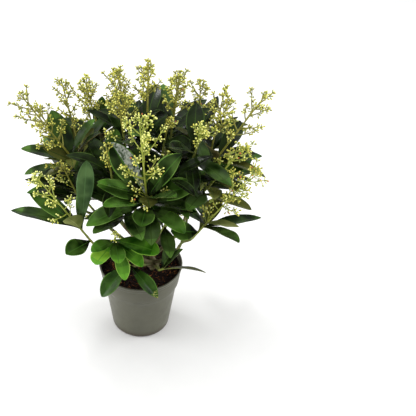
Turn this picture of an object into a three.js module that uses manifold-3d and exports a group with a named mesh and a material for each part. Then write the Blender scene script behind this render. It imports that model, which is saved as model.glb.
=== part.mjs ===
// A potted skimmia: a flowering evergreen shrub in a round nursery pot.
// Millimetres, +Z up, the front towards -Y. The origin is the centre of the pot's flat underside.
// A bearing is in degrees from +X, counter-clockwise seen from above.
import * as THREE from "three";
import { mergeVertices } from "three/addons/utils/BufferGeometryUtils.js";
import Module from "manifold-3d";

const wasm = await Module();
wasm.setup();

// ---- driving dimensions -------------------------------------------------------------------------

const POT_HEIGHT = 122;
const RIM_RADIUS = 65;
const BASE_RADIUS = 45.5;
const COLLAR_HEIGHT = 32;
const COLLAR_FOOT_RADIUS = 60;
const COLLAR_STEP = 2.2;
const POT_WALL = 1.6;
const FOOT_ROUND = 2;
const DRAIN_HOLES = 6;
const DRAIN_HOLE_RADIUS = 5;
const DRAIN_CIRCLE_RADIUS = 27;
const POT_FACETS = 36;

const COMPOST_TOP = 111;
const COMPOST_CROWN = 1.5;

const CLEARANCE = 0.3;

const STEM_FOOT = { bearing: 5, reach: 20, rise: COMPOST_TOP + COMPOST_CROWN + CLEARANCE };
const STEM_TOP = { bearing: 40, reach: 6, rise: 172 };
const STEM_FLARE_RADIUS = 9.5;
const STEM_FLARE_HEIGHT = 9;
const STEM_RADIUS = 6.2;
const STEM_TOP_RADIUS = 4.6;

const BOUGH_FOOT_RADIUS = 3.1;
const BOUGH_TIP_RADIUS = 2.4;
const TWIG_RADIUS = 2.4;
const SHOOT_TIP_RADIUS = 1.8;
const STALK_FOOT_RADIUS = 1.5;
const STALK_TIP_RADIUS = 0.9;
const FORK_LENGTH = 7;
const LEAFY_LENGTH = 42;
const GOLDEN_ANGLE = 137.5;

// A flower spray: the pitch and the foot of its side twigs, their slope above square at the spray's
// foot and how much it gains by the top, and the knots of buds at the ends of stalk and twigs.
const SPRAY_TWIG_PITCH = 14;
const SPRAY_TWIG_RADIUS = 0.9;
const SPRAY_TWIG_FOOT = 3;
const SPRAY_TWIG_SLOPE = 26;
const SPRAY_TWIG_CLIMB = 26;
const SPRAY_TOP = 12;
const SPRAY_HEADROOM = 4;
const TWIG_KNOT = 4.8;
const STALK_KNOT = 6;
const KNOT_FOOT = 0.9;

// A leaf: its angle from the shoot at the top and how much that gains by the lowest leaf, its
// length at the ends of the leafy stretch and how much longer it is in the middle, its width as a
// share of its length, and its section: the keel under the midrib and the rise of its edges.
const LEAF_OPENING = 50;
const LEAF_DROOP = 30;
const LEAF_LENGTH = 46;
const LEAF_MIDDLE_LENGTH = 22;
const LEAF_LENGTH_DRAW = 12;
const LEAF_SLENDERNESS = 0.31;
const LEAF_LIFT = 0.3;
const LEAF_BEND = 14;
const LEAF_BEND_DRAW = 26;
const LEAF_KEEL = 0.55;
const LEAF_FOLD = 0.1;
const LEAF_STATIONS = [0.44, 0.78];
const PETIOLE_HALF_WIDTH = 1.3;
const ROOT_DEPTH = 1;

// What is already grown stands in the way with a margin round it. A leaf that is in the way of
// another is tried again, turned a little about its shoot, and left out when no place is free.
const MARGIN = 0.45;
const ATTEMPTS = 15;
const ATTEMPT_TURN = 11;
const ATTEMPTS_OPENED = 4;
const ATTEMPTS_SHORTENED = 8;

// Leaves of one mass may meet within this share of their length from their roots.
const OPEN_BLADE = 0.2;

// Each row is one bough, the mass of foliage that it carries and the shoots of that mass.
// leaves: how high the bough leaves the main stem. tip: where the bough ends and the mass begins.
// A shoot ends at bearing, reach and rise, and leans from upright towards a bearing. spray is the
// length of its flower spray, bare the part of that without side twigs, and spread its radius.
const BRANCHES = [
  {
    name: "lower_right", leaves: 119, tip: { bearing: -33, reach: 68, rise: 186 },
    shoots: [
      {
        bearing: -33, reach: 110, rise: 248, lean: 31, toward: -15, leaves: 3, turn: 150,
        spray: 116, bare: 26, spread: 27,
      },
      {
        bearing: -20, reach: 103, rise: 296, lean: 32, toward: -14, leaves: 8, turn: 10,
        spray: 78, bare: 16, spread: 24,
      },
    ],
  },
  {
    name: "young_front", leaves: 121, tip: { bearing: -108, reach: 56, rise: 186 },
    shoots: [
      {
        bearing: -114, reach: 87, rise: 234, lean: 22, toward: -80, leaves: 0, turn: 100,
        spray: 12, bare: 3, spread: 5,
      },
    ],
  },
  {
    name: "low_front", leaves: 118, tip: { bearing: -100, reach: 30, rise: 140 },
    shoots: [
      { bearing: -108, reach: 55, rise: 162, lean: 40, toward: -100, leaves: 0, turn: 0 },
    ],
  },
  {
    name: "low_right", leaves: 117, tip: { bearing: -36, reach: 33, rise: 125 },
    shoots: [
      { bearing: -48, reach: 51, rise: 141, lean: 45, toward: -50, leaves: 0, turn: 0 },
    ],
  },
  {
    name: "lower_left", leaves: 125, tip: { bearing: -143, reach: 62, rise: 188 },
    shoots: [
      {
        bearing: -145, reach: 104, rise: 238, lean: 29, toward: -168, leaves: 1, turn: 80,
        spray: 110, bare: 22, spread: 28,
      },
    ],
  },
  {
    name: "centre_left", leaves: 134, tip: { bearing: -122, reach: 28, rise: 205 },
    shoots: [
      { bearing: -116, reach: 54, rise: 264, lean: 22, toward: -118, leaves: 6, turn: 40 },
    ],
  },
  {
    name: "centre_right", leaves: 127, tip: { bearing: -58, reach: 36, rise: 192 },
    shoots: [
      { bearing: -54, reach: 64, rise: 240, lean: 30, toward: -50, leaves: 4, turn: 60 },
    ],
  },
  {
    name: "low_back_right", leaves: 129, tip: { bearing: 18, reach: 68, rise: 182 },
    shoots: [
      { bearing: 17, reach: 106, rise: 258, lean: 35, toward: 10, leaves: 9, turn: 30 },
    ],
  },
  {
    name: "low_back_left", leaves: 131, tip: { bearing: 165, reach: 58, rise: 190 },
    shoots: [
      { bearing: 168, reach: 96, rise: 244, lean: 35, toward: 170, leaves: 9, turn: 75 },
    ],
  },
  {
    name: "back_left", leaves: 137, tip: { bearing: 138, reach: 66, rise: 205 },
    shoots: [
      {
        bearing: 150, reach: 122, rise: 268, lean: 35, toward: 150, leaves: 9, turn: 20,
        spray: 95, bare: 20, spread: 26,
      },
      {
        bearing: 125, reach: 118, rise: 280, lean: 28, toward: 120, leaves: 9, turn: 55,
        spray: 88, bare: 18, spread: 26,
      },
    ],
  },
  {
    name: "back_right", leaves: 141, tip: { bearing: 55, reach: 66, rise: 205 },
    shoots: [
      {
        bearing: 42, reach: 126, rise: 262, lean: 35, toward: 40, leaves: 9, turn: 85,
        spray: 95, bare: 20, spread: 26,
      },
      {
        bearing: 72, reach: 120, rise: 280, lean: 28, toward: 75, leaves: 9, turn: 15,
        spray: 88, bare: 18, spread: 26,
      },
    ],
  },
  {
    name: "right", leaves: 146, tip: { bearing: -4, reach: 58, rise: 240 },
    shoots: [
      {
        bearing: 5, reach: 98, rise: 318, lean: 9, toward: 24, leaves: 8, turn: 40,
        spray: 95, bare: 24, spread: 22,
      },
      {
        bearing: -8, reach: 106, rise: 325, lean: 29, toward: -6, leaves: 8, turn: 95,
        spray: 114, bare: 26, spread: 27,
      },
    ],
  },
  {
    name: "upper_left", leaves: 150, tip: { bearing: 174, reach: 52, rise: 235 },
    shoots: [
      {
        bearing: 180, reach: 98, rise: 318, lean: 31, toward: -175, leaves: 8, turn: 70,
        spray: 114, bare: 14, spread: 32,
      },
      {
        bearing: 160, reach: 92, rise: 305, lean: 11, toward: 167, leaves: 8, turn: 5,
        spray: 112, bare: 30, spread: 19,
      },
    ],
  },
  {
    name: "front", leaves: 153, tip: { bearing: -80, reach: 36, rise: 220 },
    shoots: [
      {
        bearing: -83, reach: 60, rise: 296, lean: 5, toward: -154, leaves: 9, turn: 25,
        spray: 122, bare: 16, spread: 36,
      },
    ],
  },
  {
    name: "inner_left", leaves: 157, tip: { bearing: -140, reach: 36, rise: 230 },
    shoots: [
      {
        bearing: -134, reach: 58, rise: 322, lean: 12, toward: -120, leaves: 9, turn: 65,
        spray: 46, bare: 12, spread: 15,
      },
      {
        bearing: -163, reach: 98, rise: 286, lean: 20, toward: 178, leaves: 8, turn: 45,
        spray: 42, bare: 18, spread: 10,
      },
    ],
  },
  {
    name: "inner_right", leaves: 158, tip: { bearing: -28, reach: 40, rise: 240 },
    shoots: [
      {
        bearing: -22, reach: 79, rise: 345, lean: 14, toward: -40, leaves: 9, turn: 90,
        spray: 40, bare: 12, spread: 20,
      },
      { bearing: -50, reach: 62, rise: 318, lean: 18, toward: -50, leaves: 8, turn: 20 },
    ],
  },
  {
    name: "right_back", leaves: 161, tip: { bearing: 38, reach: 48, rise: 245 },
    shoots: [
      {
        bearing: 35, reach: 105, rise: 322, lean: 11, toward: 100, leaves: 9, turn: 50,
        spray: 74, bare: 18, spread: 21,
      },
      {
        bearing: 58, reach: 84, rise: 330, lean: 18, toward: 60, leaves: 8, turn: 110,
        spray: 74, bare: 16, spread: 22,
      },
    ],
  },
  {
    name: "left_back", leaves: 163, tip: { bearing: 140, reach: 44, rise: 245 },
    shoots: [
      {
        bearing: 135, reach: 85, rise: 318, lean: 13, toward: 162, leaves: 9, turn: 30,
        spray: 86, bare: 28, spread: 18,
      },
      {
        bearing: 112, reach: 84, rise: 330, lean: 18, toward: 110, leaves: 8, turn: 80,
        spray: 74, bare: 16, spread: 22,
      },
    ],
  },
  {
    name: "back", leaves: 166, tip: { bearing: 88, reach: 42, rise: 235 },
    shoots: [
      {
        bearing: 88, reach: 96, rise: 308, lean: 24, toward: 90, leaves: 9, turn: 10,
        spray: 86, bare: 18, spread: 24,
      },
    ],
  },
  {
    name: "top", leaves: 169, tip: { bearing: 130, reach: 14, rise: 260 },
    shoots: [
      {
        bearing: 121, reach: 35, rise: 340, lean: 9, toward: 156, leaves: 8, turn: 35,
        spray: 90, bare: 28, spread: 24,
      },
      {
        bearing: 60, reach: 17, rise: 358, lean: 1, toward: 0, leaves: 8, turn: 75,
        spray: 94, bare: 36, spread: 18,
      },
      {
        bearing: 190, reach: 24, rise: 356, lean: 6, toward: 180, leaves: 7, turn: 0,
        spray: 60, bare: 18, spread: 22,
      },
    ],
  },
  {
    name: "top_right", leaves: 171, tip: { bearing: 20, reach: 26, rise: 262 },
    shoots: [
      {
        bearing: 35, reach: 53, rise: 342, lean: 8, toward: 37, leaves: 8, turn: 15,
        spray: 80, bare: 22, spread: 23,
      },
      {
        bearing: 10, reach: 34, rise: 342, lean: 8, toward: -20, leaves: 8, turn: 60,
        spray: 34, bare: 10, spread: 14,
      },
    ],
  },
];

// Leaves that stand out from the regular ones: below is the distance from the shoot's end to the
// leaf's root, rise the slope from root to tip above level, roll the turn of the blade about its
// midrib and bend how far it curves back along its length.
const FEATURE_LEAVES = [
  { branch: "lower_left", shoot: 0, below: 30, bearing: -144, rise: -6, length: 42, width: 29, bend: 10 },
  { branch: "lower_left", shoot: 0, below: 2, bearing: 173, rise: 13, length: 100, width: 27, bend: 20 },
  {
    branch: "lower_left", shoot: 0, below: 2, bearing: -127, rise: 52, roll: 40,
    length: 46, width: 24, bend: 12,
  },
  {
    branch: "lower_left", shoot: 0, below: 6, bearing: 12, rise: 82, roll: 78,
    length: 113, width: 25, bend: 4,
  },
  {
    branch: "lower_left", shoot: 0, below: 4, bearing: 166, rise: 31, roll: -28,
    length: 88, width: 22, bend: 14,
  },
  { branch: "low_back_left", shoot: 0, below: 6, bearing: 176, rise: -2, length: 80, width: 26, bend: 15 },
  {
    branch: "upper_left", shoot: 0, below: 16, bearing: 139, rise: 54, roll: -24,
    length: 82, width: 28, bend: 10,
  },
  {
    branch: "upper_left", shoot: 0, below: 12, bearing: -158, rise: 36, roll: -28,
    length: 54, width: 19, bend: 10,
  },
  { branch: "upper_left", shoot: 0, below: 12, bearing: -172, rise: 22, length: 78, width: 25, bend: 20 },
  { branch: "upper_left", shoot: 1, below: 8, bearing: 30, rise: 62, length: 46, width: 22, bend: 26 },
  { branch: "left_back", shoot: 0, below: 10, bearing: 88, rise: 53, length: 63, width: 22, bend: 8 },
  {
    branch: "front", shoot: 0, below: 4, bearing: 156, rise: 51, roll: -35,
    length: 87, width: 31, bend: 10,
  },
  {
    branch: "front", shoot: 0, below: 10, bearing: -166, rise: 24, roll: -25,
    length: 74, width: 27, bend: 24,
  },
  {
    branch: "front", shoot: 0, below: 12, bearing: -15, rise: 24, roll: 25,
    length: 78, width: 31, bend: 24,
  },
  { branch: "front", shoot: 0, below: 3, bearing: -84, rise: 12, length: 38, width: 23, bend: 10 },
  { branch: "front", shoot: 0, below: 20, bearing: -104, rise: -14, length: 38, width: 28, bend: 24 },
  { branch: "front", shoot: 0, below: 16, bearing: -163, rise: -13, length: 89, width: 30, bend: 18 },
  { branch: "front", shoot: 0, below: 26, bearing: -84, rise: -30, length: 54, width: 24, bend: 24 },
  {
    branch: "front", shoot: 0, below: 8, bearing: -7, rise: 57, roll: 35,
    length: 86, width: 30, bend: 10,
  },
  { branch: "centre_left", shoot: 0, below: 8, bearing: 179, rise: -15, length: 60, width: 24, bend: 18 },
  {
    branch: "lower_right", shoot: 0, below: 2, bearing: -20, rise: 8, roll: -65,
    length: 47, width: 18, bend: 10,
  },
  { branch: "lower_right", shoot: 0, below: 12, bearing: 14, rise: 0, length: 88, width: 20, bend: 20 },
  {
    branch: "lower_right", shoot: 0, below: 24, bearing: -168, rise: 8, roll: -25,
    length: 40, width: 28, bend: 16,
  },
  { branch: "lower_right", shoot: 0, below: 6, bearing: 165, rise: 36, length: 50, width: 22, bend: 16 },
  { branch: "low_back_right", shoot: 0, below: 4, bearing: 0, rise: 14, length: 76, width: 22, bend: 20 },
  { branch: "right", shoot: 1, below: 8, bearing: 2, rise: 6, length: 66, width: 22, bend: 15 },
  { branch: "young_front", shoot: 0, below: 3, bearing: -14, rise: -9, length: 64, width: 34, bend: 18 },
  { branch: "young_front", shoot: 0, below: 10, bearing: -38, rise: -20, length: 53, width: 20, bend: 20 },
  { branch: "young_front", shoot: 0, below: 14, bearing: -70, rise: -35, length: 54, width: 18, bend: 20 },
  { branch: "young_front", shoot: 0, below: 6, bearing: -80, rise: -15, length: 38, width: 20, bend: 15 },
  { branch: "young_front", shoot: 0, below: 10, bearing: -130, rise: -18, length: 43, width: 28, bend: 15 },
  { branch: "young_front", shoot: 0, below: 3, bearing: -148, rise: -6, length: 38, width: 21, bend: 15 },
  { branch: "low_front", shoot: 0, below: 4, bearing: -140, rise: -31, length: 62, width: 25, bend: 18 },
  { branch: "low_front", shoot: 0, below: 3, bearing: -40, rise: -32, length: 64, width: 24, bend: 18 },
  {
    branch: "low_right", shoot: 0, below: 2, bearing: -5, rise: 3, roll: -30,
    length: 66, width: 13, bend: 30,
  },
  {
    branch: "low_right", shoot: 0, below: 4, bearing: -28, rise: 58, roll: 25,
    length: 60, width: 17, bend: 10,
  },
  { branch: "low_right", shoot: 0, below: 8, bearing: 20, rise: 73, length: 56, width: 16, bend: 10 },
  {
    branch: "top", shoot: 1, below: 10, bearing: -25, rise: 46, roll: 50,
    length: 44, width: 30, bend: 10,
  },
  {
    branch: "top_right", shoot: 1, below: 6, bearing: -40, rise: 1, roll: 30,
    length: 44, width: 32, bend: 10,
  },
  {
    branch: "inner_right", shoot: 1, below: 6, bearing: 134, rise: 17, roll: -20,
    length: 58, width: 24, bend: 14,
  },
];

// ---- vectors and draws --------------------------------------------------------------------------

const UP = new THREE.Vector3(0, 0, 1);

const radians = THREE.MathUtils.degToRad;

function point({ bearing, reach, rise }) {
  const angle = radians(bearing);
  return new THREE.Vector3(reach * Math.cos(angle), reach * Math.sin(angle), rise);
}

function leaning(lean, toward) {
  const flat = Math.sin(radians(lean));
  return new THREE.Vector3(
    flat * Math.cos(radians(toward)),
    flat * Math.sin(radians(toward)),
    Math.cos(radians(lean)),
  );
}

// The unit vector square to a direction that is turned by an angle about it.
function square(direction, turn) {
  const swing = new THREE.Quaternion().setFromUnitVectors(UP, direction);
  return new THREE.Vector3(Math.cos(radians(turn)), Math.sin(radians(turn)), 0).applyQuaternion(swing);
}

function along(start, direction, distance) {
  return start.clone().addScaledVector(direction, distance);
}

// Draws between 0 and 1 that start again from their own seed for each leaf and each spray.
function draws(seed) {
  const multiplier = 16807;
  const modulus = 2147483647;
  let state = (seed * 7919 + 104729) % modulus;
  const draw = () => {
    state = (state * multiplier) % modulus;
    return state / modulus;
  };
  draw();
  draw();
  return draw;
}

// ---- closed bodies ------------------------------------------------------------------------------

// A closed body skinned over a row of sections; a section of one point closes it to a tip.
function skin(sections) {
  const points = sections.flat();
  const faces = [];
  let first = 0;
  for (let row = 0; row + 1 < sections.length; row += 1) {
    const here = sections[row].length;
    const there = sections[row + 1].length;
    const next = first + here;
    const sides = Math.max(here, there);
    for (let side = 0; side < sides; side += 1) {
      const other = (side + 1) % sides;
      const a = here > 1 ? first + side : first;
      const b = here > 1 ? first + other : first;
      const c = there > 1 ? next + side : next;
      const d = there > 1 ? next + other : next;
      if (a !== b) faces.push([a, b, d]);
      if (c !== d) faces.push([a, d, c]);
    }
    first = next;
  }
  for (let side = 1; side + 1 < sections[0].length; side += 1) faces.push([0, side + 1, side]);
  for (let side = 1; side + 1 < sections.at(-1).length; side += 1) {
    faces.push([first, first + side, first + side + 1]);
  }
  return { points, faces };
}

// The corners of a level-sided section: grown moves its flats out, not only its corners.
function section(centre, direction, sides, radius, grown) {
  const corner = radius + grown / Math.cos(Math.PI / sides);
  return Array.from({ length: sides }, (_, side) => (
    along(centre, square(direction, (side * 360) / sides), corner)
  ));
}

// A round limb through a row of centres, tapering from the first radius to the last, whose ends
// are cut square to the given headings.
function limb(centres, headings, [firstRadius, lastRadius], sides, grown) {
  const last = centres.length - 1;
  return skin(centres.map((centre, index) => {
    let direction = headings[index === 0 ? 0 : 1];
    if (index > 0 && index < last) {
      direction = centres[index + 1].clone().sub(centres[index - 1]).normalize();
    }
    const radius = THREE.MathUtils.lerp(firstRadius, lastRadius, index / last);
    return section(centre, direction, sides, radius, grown);
  }));
}

// Half the width of a leaf's blade at a share of its length, as a share of the greatest half width.
function bladeShape(share) {
  const widest = 0.625;
  const shape = (where) => where * Math.max(1 - where, 0) ** 0.6;
  return shape(share) / shape(widest);
}

// A leaf bends back evenly along its length, away from its upper face. Its root is a point.
function leafBody(leaf, grown) {
  const bend = radians(leaf.bend);
  const side = new THREE.Vector3().crossVectors(leaf.upper, leaf.heading);
  const crossing = (share) => {
    const swing = bend * share;
    const centre = along(leaf.root, leaf.heading, (leaf.length * Math.sin(swing)) / bend);
    centre.addScaledVector(leaf.upper, (leaf.length * (Math.cos(swing) - 1)) / bend);
    const upper = leaf.heading.clone().multiplyScalar(Math.sin(swing));
    upper.addScaledVector(leaf.upper, Math.cos(swing));
    const half = Math.max(PETIOLE_HALF_WIDTH, (bladeShape(share) * leaf.width) / 2);
    const corner = (across, lift) => along(along(centre, side, across), upper, lift);
    const margin = half + grown;
    const lift = LEAF_FOLD * half;
    const corners = [corner(margin, lift + grown), corner(-margin, lift + grown)];
    if (grown > 0) corners.push(corner(-margin, lift - grown));
    corners.push(corner(0, -LEAF_KEEL - grown));
    if (grown > 0) corners.push(corner(margin, lift - grown));
    return corners;
  };
  const [edge, opposite] = crossing(1 + (2 * grown) / leaf.length);
  const tip = edge.lerp(opposite, 0.5);
  const foot = leaf.open ? crossing(OPEN_BLADE) : [along(leaf.root, leaf.heading, -ROOT_DEPTH)];
  return skin([foot, ...LEAF_STATIONS.map(crossing), [tip]]);
}

function toSolid({ points, faces }) {
  return new wasm.Manifold(new wasm.Mesh({
    numProp: 3,
    vertProperties: new Float32Array(points.flatMap((p) => [p.x, p.y, p.z])),
    triVerts: new Uint32Array(faces.flat()),
  }));
}

function fromGeometry(geometry) {
  const bare = geometry.clone();
  bare.deleteAttribute("normal");
  bare.deleteAttribute("uv");
  const merged = mergeVertices(bare, 1e-4);
  const { array } = merged.getAttribute("position");
  const points = Array.from({ length: array.length / 3 }, (_, index) => (
    new THREE.Vector3().fromArray(array, index * 3)
  ));
  const index = Array.from(merged.getIndex().array);
  const faces = [];
  for (let corner = 0; corner < index.length; corner += 3) {
    const face = index.slice(corner, corner + 3);
    if (new Set(face).size === 3) faces.push(face);
  }
  return { points, faces };
}

function toGeometry(solid) {
  const mesh = solid.getMesh();
  const geometry = new THREE.BufferGeometry();
  geometry.setAttribute("position", new THREE.BufferAttribute(mesh.vertProperties, 3));
  geometry.setIndex(new THREE.BufferAttribute(mesh.triVerts, 1));
  return geometry;
}

function fuse(bodies) {
  let solids = bodies.map(toSolid);
  while (solids.length > 1) {
    const joined = [];
    for (let index = 0; index < solids.length; index += 2) {
      joined.push(index + 1 < solids.length ? solids[index].add(solids[index + 1]) : solids[index]);
    }
    solids = joined;
  }
  return solids[0];
}

// ---- keeping clear ------------------------------------------------------------------------------

// A body as an obstacle, with its edges and the box round it.
function obstacle(body) {
  const edges = new Map();
  for (const face of body.faces) {
    for (let corner = 0; corner < 3; corner += 1) {
      const pair = [face[corner], face[(corner + 1) % 3]].sort((a, b) => a - b);
      edges.set(pair.join(), pair);
    }
  }
  return {
    edges: [...edges.values()].map(([a, b]) => [body.points[a], body.points[b]]),
    faces: body.faces.map(([a, b, c]) => (
      new THREE.Triangle(body.points[a], body.points[b], body.points[c])
    )),
    box: new THREE.Box3().setFromPoints(body.points),
  };
}

const ray = new THREE.Ray();
const hit = new THREE.Vector3();

function pierces(edges, other) {
  for (const [start, end] of edges) {
    const length = start.distanceTo(end);
    ray.origin.copy(start);
    ray.direction.subVectors(end, start).divideScalar(length);
    if (!ray.intersectsBox(other.box) && !other.box.containsPoint(start)) continue;
    for (const face of other.faces) {
      if (ray.intersectTriangle(face.a, face.b, face.c, false, hit)) {
        if (hit.distanceTo(start) <= length) return true;
      }
    }
  }
  return false;
}

function touches(one, other) {
  return one.box.intersectsBox(other.box) && (pierces(one.edges, other) || pierces(other.edges, one));
}

// ---- the pot and its compost --------------------------------------------------------------------

function lathe(profile, facets) {
  const outline = profile.map(([radius, height]) => new THREE.Vector2(radius, height));
  const geometry = new THREE.LatheGeometry(outline, facets);
  geometry.rotateX(Math.PI / 2);
  return fromGeometry(geometry);
}

const COLLAR_FOOT = POT_HEIGHT - COLLAR_HEIGHT;
const BODY_TOP_RADIUS = COLLAR_FOOT_RADIUS - COLLAR_STEP;

function bodyRadius(height) {
  return THREE.MathUtils.mapLinear(height, FOOT_ROUND, COLLAR_FOOT, BASE_RADIUS + 0.6, BODY_TOP_RADIUS);
}

function potBody() {
  const shell = toSolid(lathe([
    [0, 0],
    [BASE_RADIUS - FOOT_ROUND, 0],
    [BASE_RADIUS - FOOT_ROUND * 0.3, FOOT_ROUND * 0.3],
    [bodyRadius(FOOT_ROUND), FOOT_ROUND],
    [bodyRadius(COLLAR_FOOT - 1), COLLAR_FOOT - 1],
    [COLLAR_FOOT_RADIUS, COLLAR_FOOT + 0.6],
    [RIM_RADIUS, POT_HEIGHT - 3],
    [RIM_RADIUS, POT_HEIGHT],
    [RIM_RADIUS - POT_WALL, POT_HEIGHT],
    [COLLAR_FOOT_RADIUS - POT_WALL, COLLAR_FOOT + 2],
    [BODY_TOP_RADIUS - POT_WALL, COLLAR_FOOT - 1],
    [BASE_RADIUS - POT_WALL, FOOT_ROUND],
    [BASE_RADIUS - POT_WALL - 1, POT_WALL],
    [0, POT_WALL],
  ], POT_FACETS));
  let pot = shell;
  for (let hole = 0; hole < DRAIN_HOLES; hole += 1) {
    const drill = new THREE.CylinderGeometry(DRAIN_HOLE_RADIUS, DRAIN_HOLE_RADIUS, 4 * POT_WALL, 10);
    drill.rotateX(Math.PI / 2);
    const centre = point({ bearing: (hole * 360) / DRAIN_HOLES, reach: DRAIN_CIRCLE_RADIUS, rise: 0 });
    drill.translate(centre.x, centre.y, centre.z);
    pot = pot.subtract(toSolid(fromGeometry(drill)));
  }
  return pot;
}

function compostBody() {
  const inset = POT_WALL + CLEARANCE;
  const edgeRadius = THREE.MathUtils.mapLinear(
    COMPOST_TOP, COLLAR_FOOT + 2, POT_HEIGHT, COLLAR_FOOT_RADIUS - inset, RIM_RADIUS - inset,
  );
  return toSolid(lathe([
    [0, POT_WALL + CLEARANCE],
    [BASE_RADIUS - inset - 1.4, POT_WALL + CLEARANCE],
    [BASE_RADIUS - inset - 0.4, FOOT_ROUND + CLEARANCE],
    [BODY_TOP_RADIUS - inset - 0.3, COLLAR_FOOT - 1],
    [COLLAR_FOOT_RADIUS - inset - 0.3, COLLAR_FOOT + 2.4],
    [edgeRadius - 0.3, COMPOST_TOP - 1],
    [edgeRadius * 0.7, COMPOST_TOP + COMPOST_CROWN],
    [0, COMPOST_TOP + COMPOST_CROWN],
  ], POT_FACETS));
}

// The space of the filled pot, which stems and leaves stay out of.
const potSpace = obstacle(lathe([
  [0, 0],
  [BASE_RADIUS + 1, 0],
  [RIM_RADIUS + 1.5, POT_HEIGHT - 4],
  [RIM_RADIUS + 1.5, POT_HEIGHT + 1],
  [RIM_RADIUS - POT_WALL - 1, POT_HEIGHT + 1],
  [RIM_RADIUS - POT_WALL - 4, COMPOST_TOP + COMPOST_CROWN + 0.1],
  [0, COMPOST_TOP + COMPOST_CROWN + 0.1],
], 24));

// ---- the main stem and the boughs ---------------------------------------------------------------

function stemCentre(height) {
  const share = (height - STEM_FOOT.rise) / (STEM_TOP.rise - STEM_FOOT.rise);
  return point(STEM_FOOT).lerp(point(STEM_TOP), share);
}

// The main stem: level sections, so that its foot is a flat cut on the compost.
function mainStem(grown) {
  const rows = [
    [STEM_FOOT.rise - grown, STEM_FLARE_RADIUS],
    [STEM_FOOT.rise + STEM_FLARE_HEIGHT * 0.35, STEM_FLARE_RADIUS * 0.8],
    [STEM_FOOT.rise + STEM_FLARE_HEIGHT, STEM_RADIUS],
    [(STEM_FOOT.rise + STEM_TOP.rise) / 2, (STEM_RADIUS + STEM_TOP_RADIUS) / 2 + 0.3],
    [STEM_TOP.rise + grown, STEM_TOP_RADIUS],
  ];
  const sides = 10;
  return skin(rows.map(([height, radius]) => Array.from({ length: sides }, (_, side) => (
    along(stemCentre(height), leaning(90, (side * 360) / sides), radius + grown)
  ))));
}

function shootHeading(shoot) {
  return leaning(shoot.lean, shoot.toward);
}

// The straight stretch below a shoot's end that carries its leaves, and where that stretch starts.
function leafyLength(branch, shoot) {
  return Math.min(LEAFY_LENGTH, 0.5 * point(branch.tip).distanceTo(point(shoot)));
}

function knee(branch, shoot) {
  return along(point(shoot), shootHeading(shoot), -leafyLength(branch, shoot));
}

function branchHeading(branch) {
  const middle = new THREE.Vector3();
  for (const shoot of branch.shoots) middle.add(knee(branch, shoot));
  middle.divideScalar(branch.shoots.length);
  return middle.sub(point(branch.tip)).normalize();
}

function curvePoints(start, startHeading, end, endHeading, steps) {
  const handle = 0.38 * start.distanceTo(end);
  return new THREE.CubicBezierCurve3(
    start, along(start, startHeading, handle), along(end, endHeading, -handle), end,
  ).getPoints(steps);
}

function boughBody(branch, grown) {
  const foot = stemCentre(branch.leaves);
  const tip = point(branch.tip);
  const outward = tip.clone().sub(foot).setZ(0).normalize();
  const start = tip.clone().sub(foot).normalize().addScaledVector(outward, 0.35).normalize();
  const headings = [start, branchHeading(branch)];
  const centres = curvePoints(foot, start, tip, headings[1], 5);
  return limb(centres, headings, [BOUGH_FOOT_RADIUS, BOUGH_TIP_RADIUS], 5, grown);
}

// ---- the masses of foliage ----------------------------------------------------------------------

// The bare twigs of a mass. The first starts at the bough's tip and the others fork off it.
function twigBodies(branch, grown) {
  const heading = branchHeading(branch);
  const foot = along(point(branch.tip), heading, CLEARANCE);
  const fork = along(foot, heading, FORK_LENGTH);
  return branch.shoots.map((shoot, index) => {
    const start = index === 0 ? foot : fork;
    const headings = [heading, shootHeading(shoot)];
    const centres = curvePoints(start, heading, knee(branch, shoot), headings[1], 4);
    centres.push(point(shoot));
    return limb(centres, headings, [1.4 * TWIG_RADIUS, 1.4 * SHOOT_TIP_RADIUS], 3, grown);
  });
}

// A twig of a flower spray, from a point inside its stalk: it widens from its foot into a knot of
// buds at its end.
function sprayTwigBody(twig, grown) {
  const ring = (distance, radius) => (
    section(along(twig.root, twig.direction, distance), twig.direction, 3, radius, grown)
  );
  return skin([
    [twig.root],
    ring(SPRAY_TWIG_FOOT, SPRAY_TWIG_RADIUS),
    ring(twig.length - KNOT_FOOT * twig.knot, twig.knot),
    [along(twig.root, twig.direction, twig.length + 2 * grown)],
  ]);
}

// The side twigs of a flower spray stand out in a spiral and get shorter towards its top.
function sprayTwigs(shoot, seed) {
  const heading = shootHeading(shoot);
  const tip = point(shoot);
  const count = Math.round(2.5 + shoot.spray / SPRAY_TWIG_PITCH);
  const draw = draws(seed);
  return Array.from({ length: count }, (_, index) => {
    const share = (index + 0.5 * draw()) / count;
    const slope = radians(SPRAY_TWIG_SLOPE + SPRAY_TWIG_CLIMB * share + 12 * draw());
    const reach = shoot.spread * (1.05 - 0.5 * share) * (0.7 + 0.45 * draw());
    const outward = square(heading, shoot.turn + index * GOLDEN_ANGLE + 30 * draw());
    const height = shoot.bare + share * (shoot.spray - shoot.bare - SPRAY_TOP);
    const headroom = shoot.spray + SPRAY_HEADROOM - height;
    return {
      root: along(tip, heading, height),
      direction: along(outward.multiplyScalar(Math.cos(slope)), heading, Math.sin(slope)),
      length: Math.min(reach / Math.cos(slope), headroom / Math.sin(slope)),
      knot: Math.min(TWIG_KNOT + 1.6 * draw(), reach / 3),
    };
  });
}

function stalkBody(shoot, grown) {
  const heading = shootHeading(shoot);
  const knot = Math.min(STALK_KNOT, shoot.spray / 4);
  const ring = (distance, radius) => (
    section(along(point(shoot), heading, distance), heading, 3, radius, grown)
  );
  return skin([
    ring(-SHOOT_TIP_RADIUS, 1.4 * STALK_FOOT_RADIUS),
    ring(shoot.spray - 2 * knot, 1.4 * STALK_TIP_RADIUS),
    ring(shoot.spray - KNOT_FOOT * knot, knot),
    [along(point(shoot), heading, shoot.spray + 2 * grown)],
  ]);
}

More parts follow.
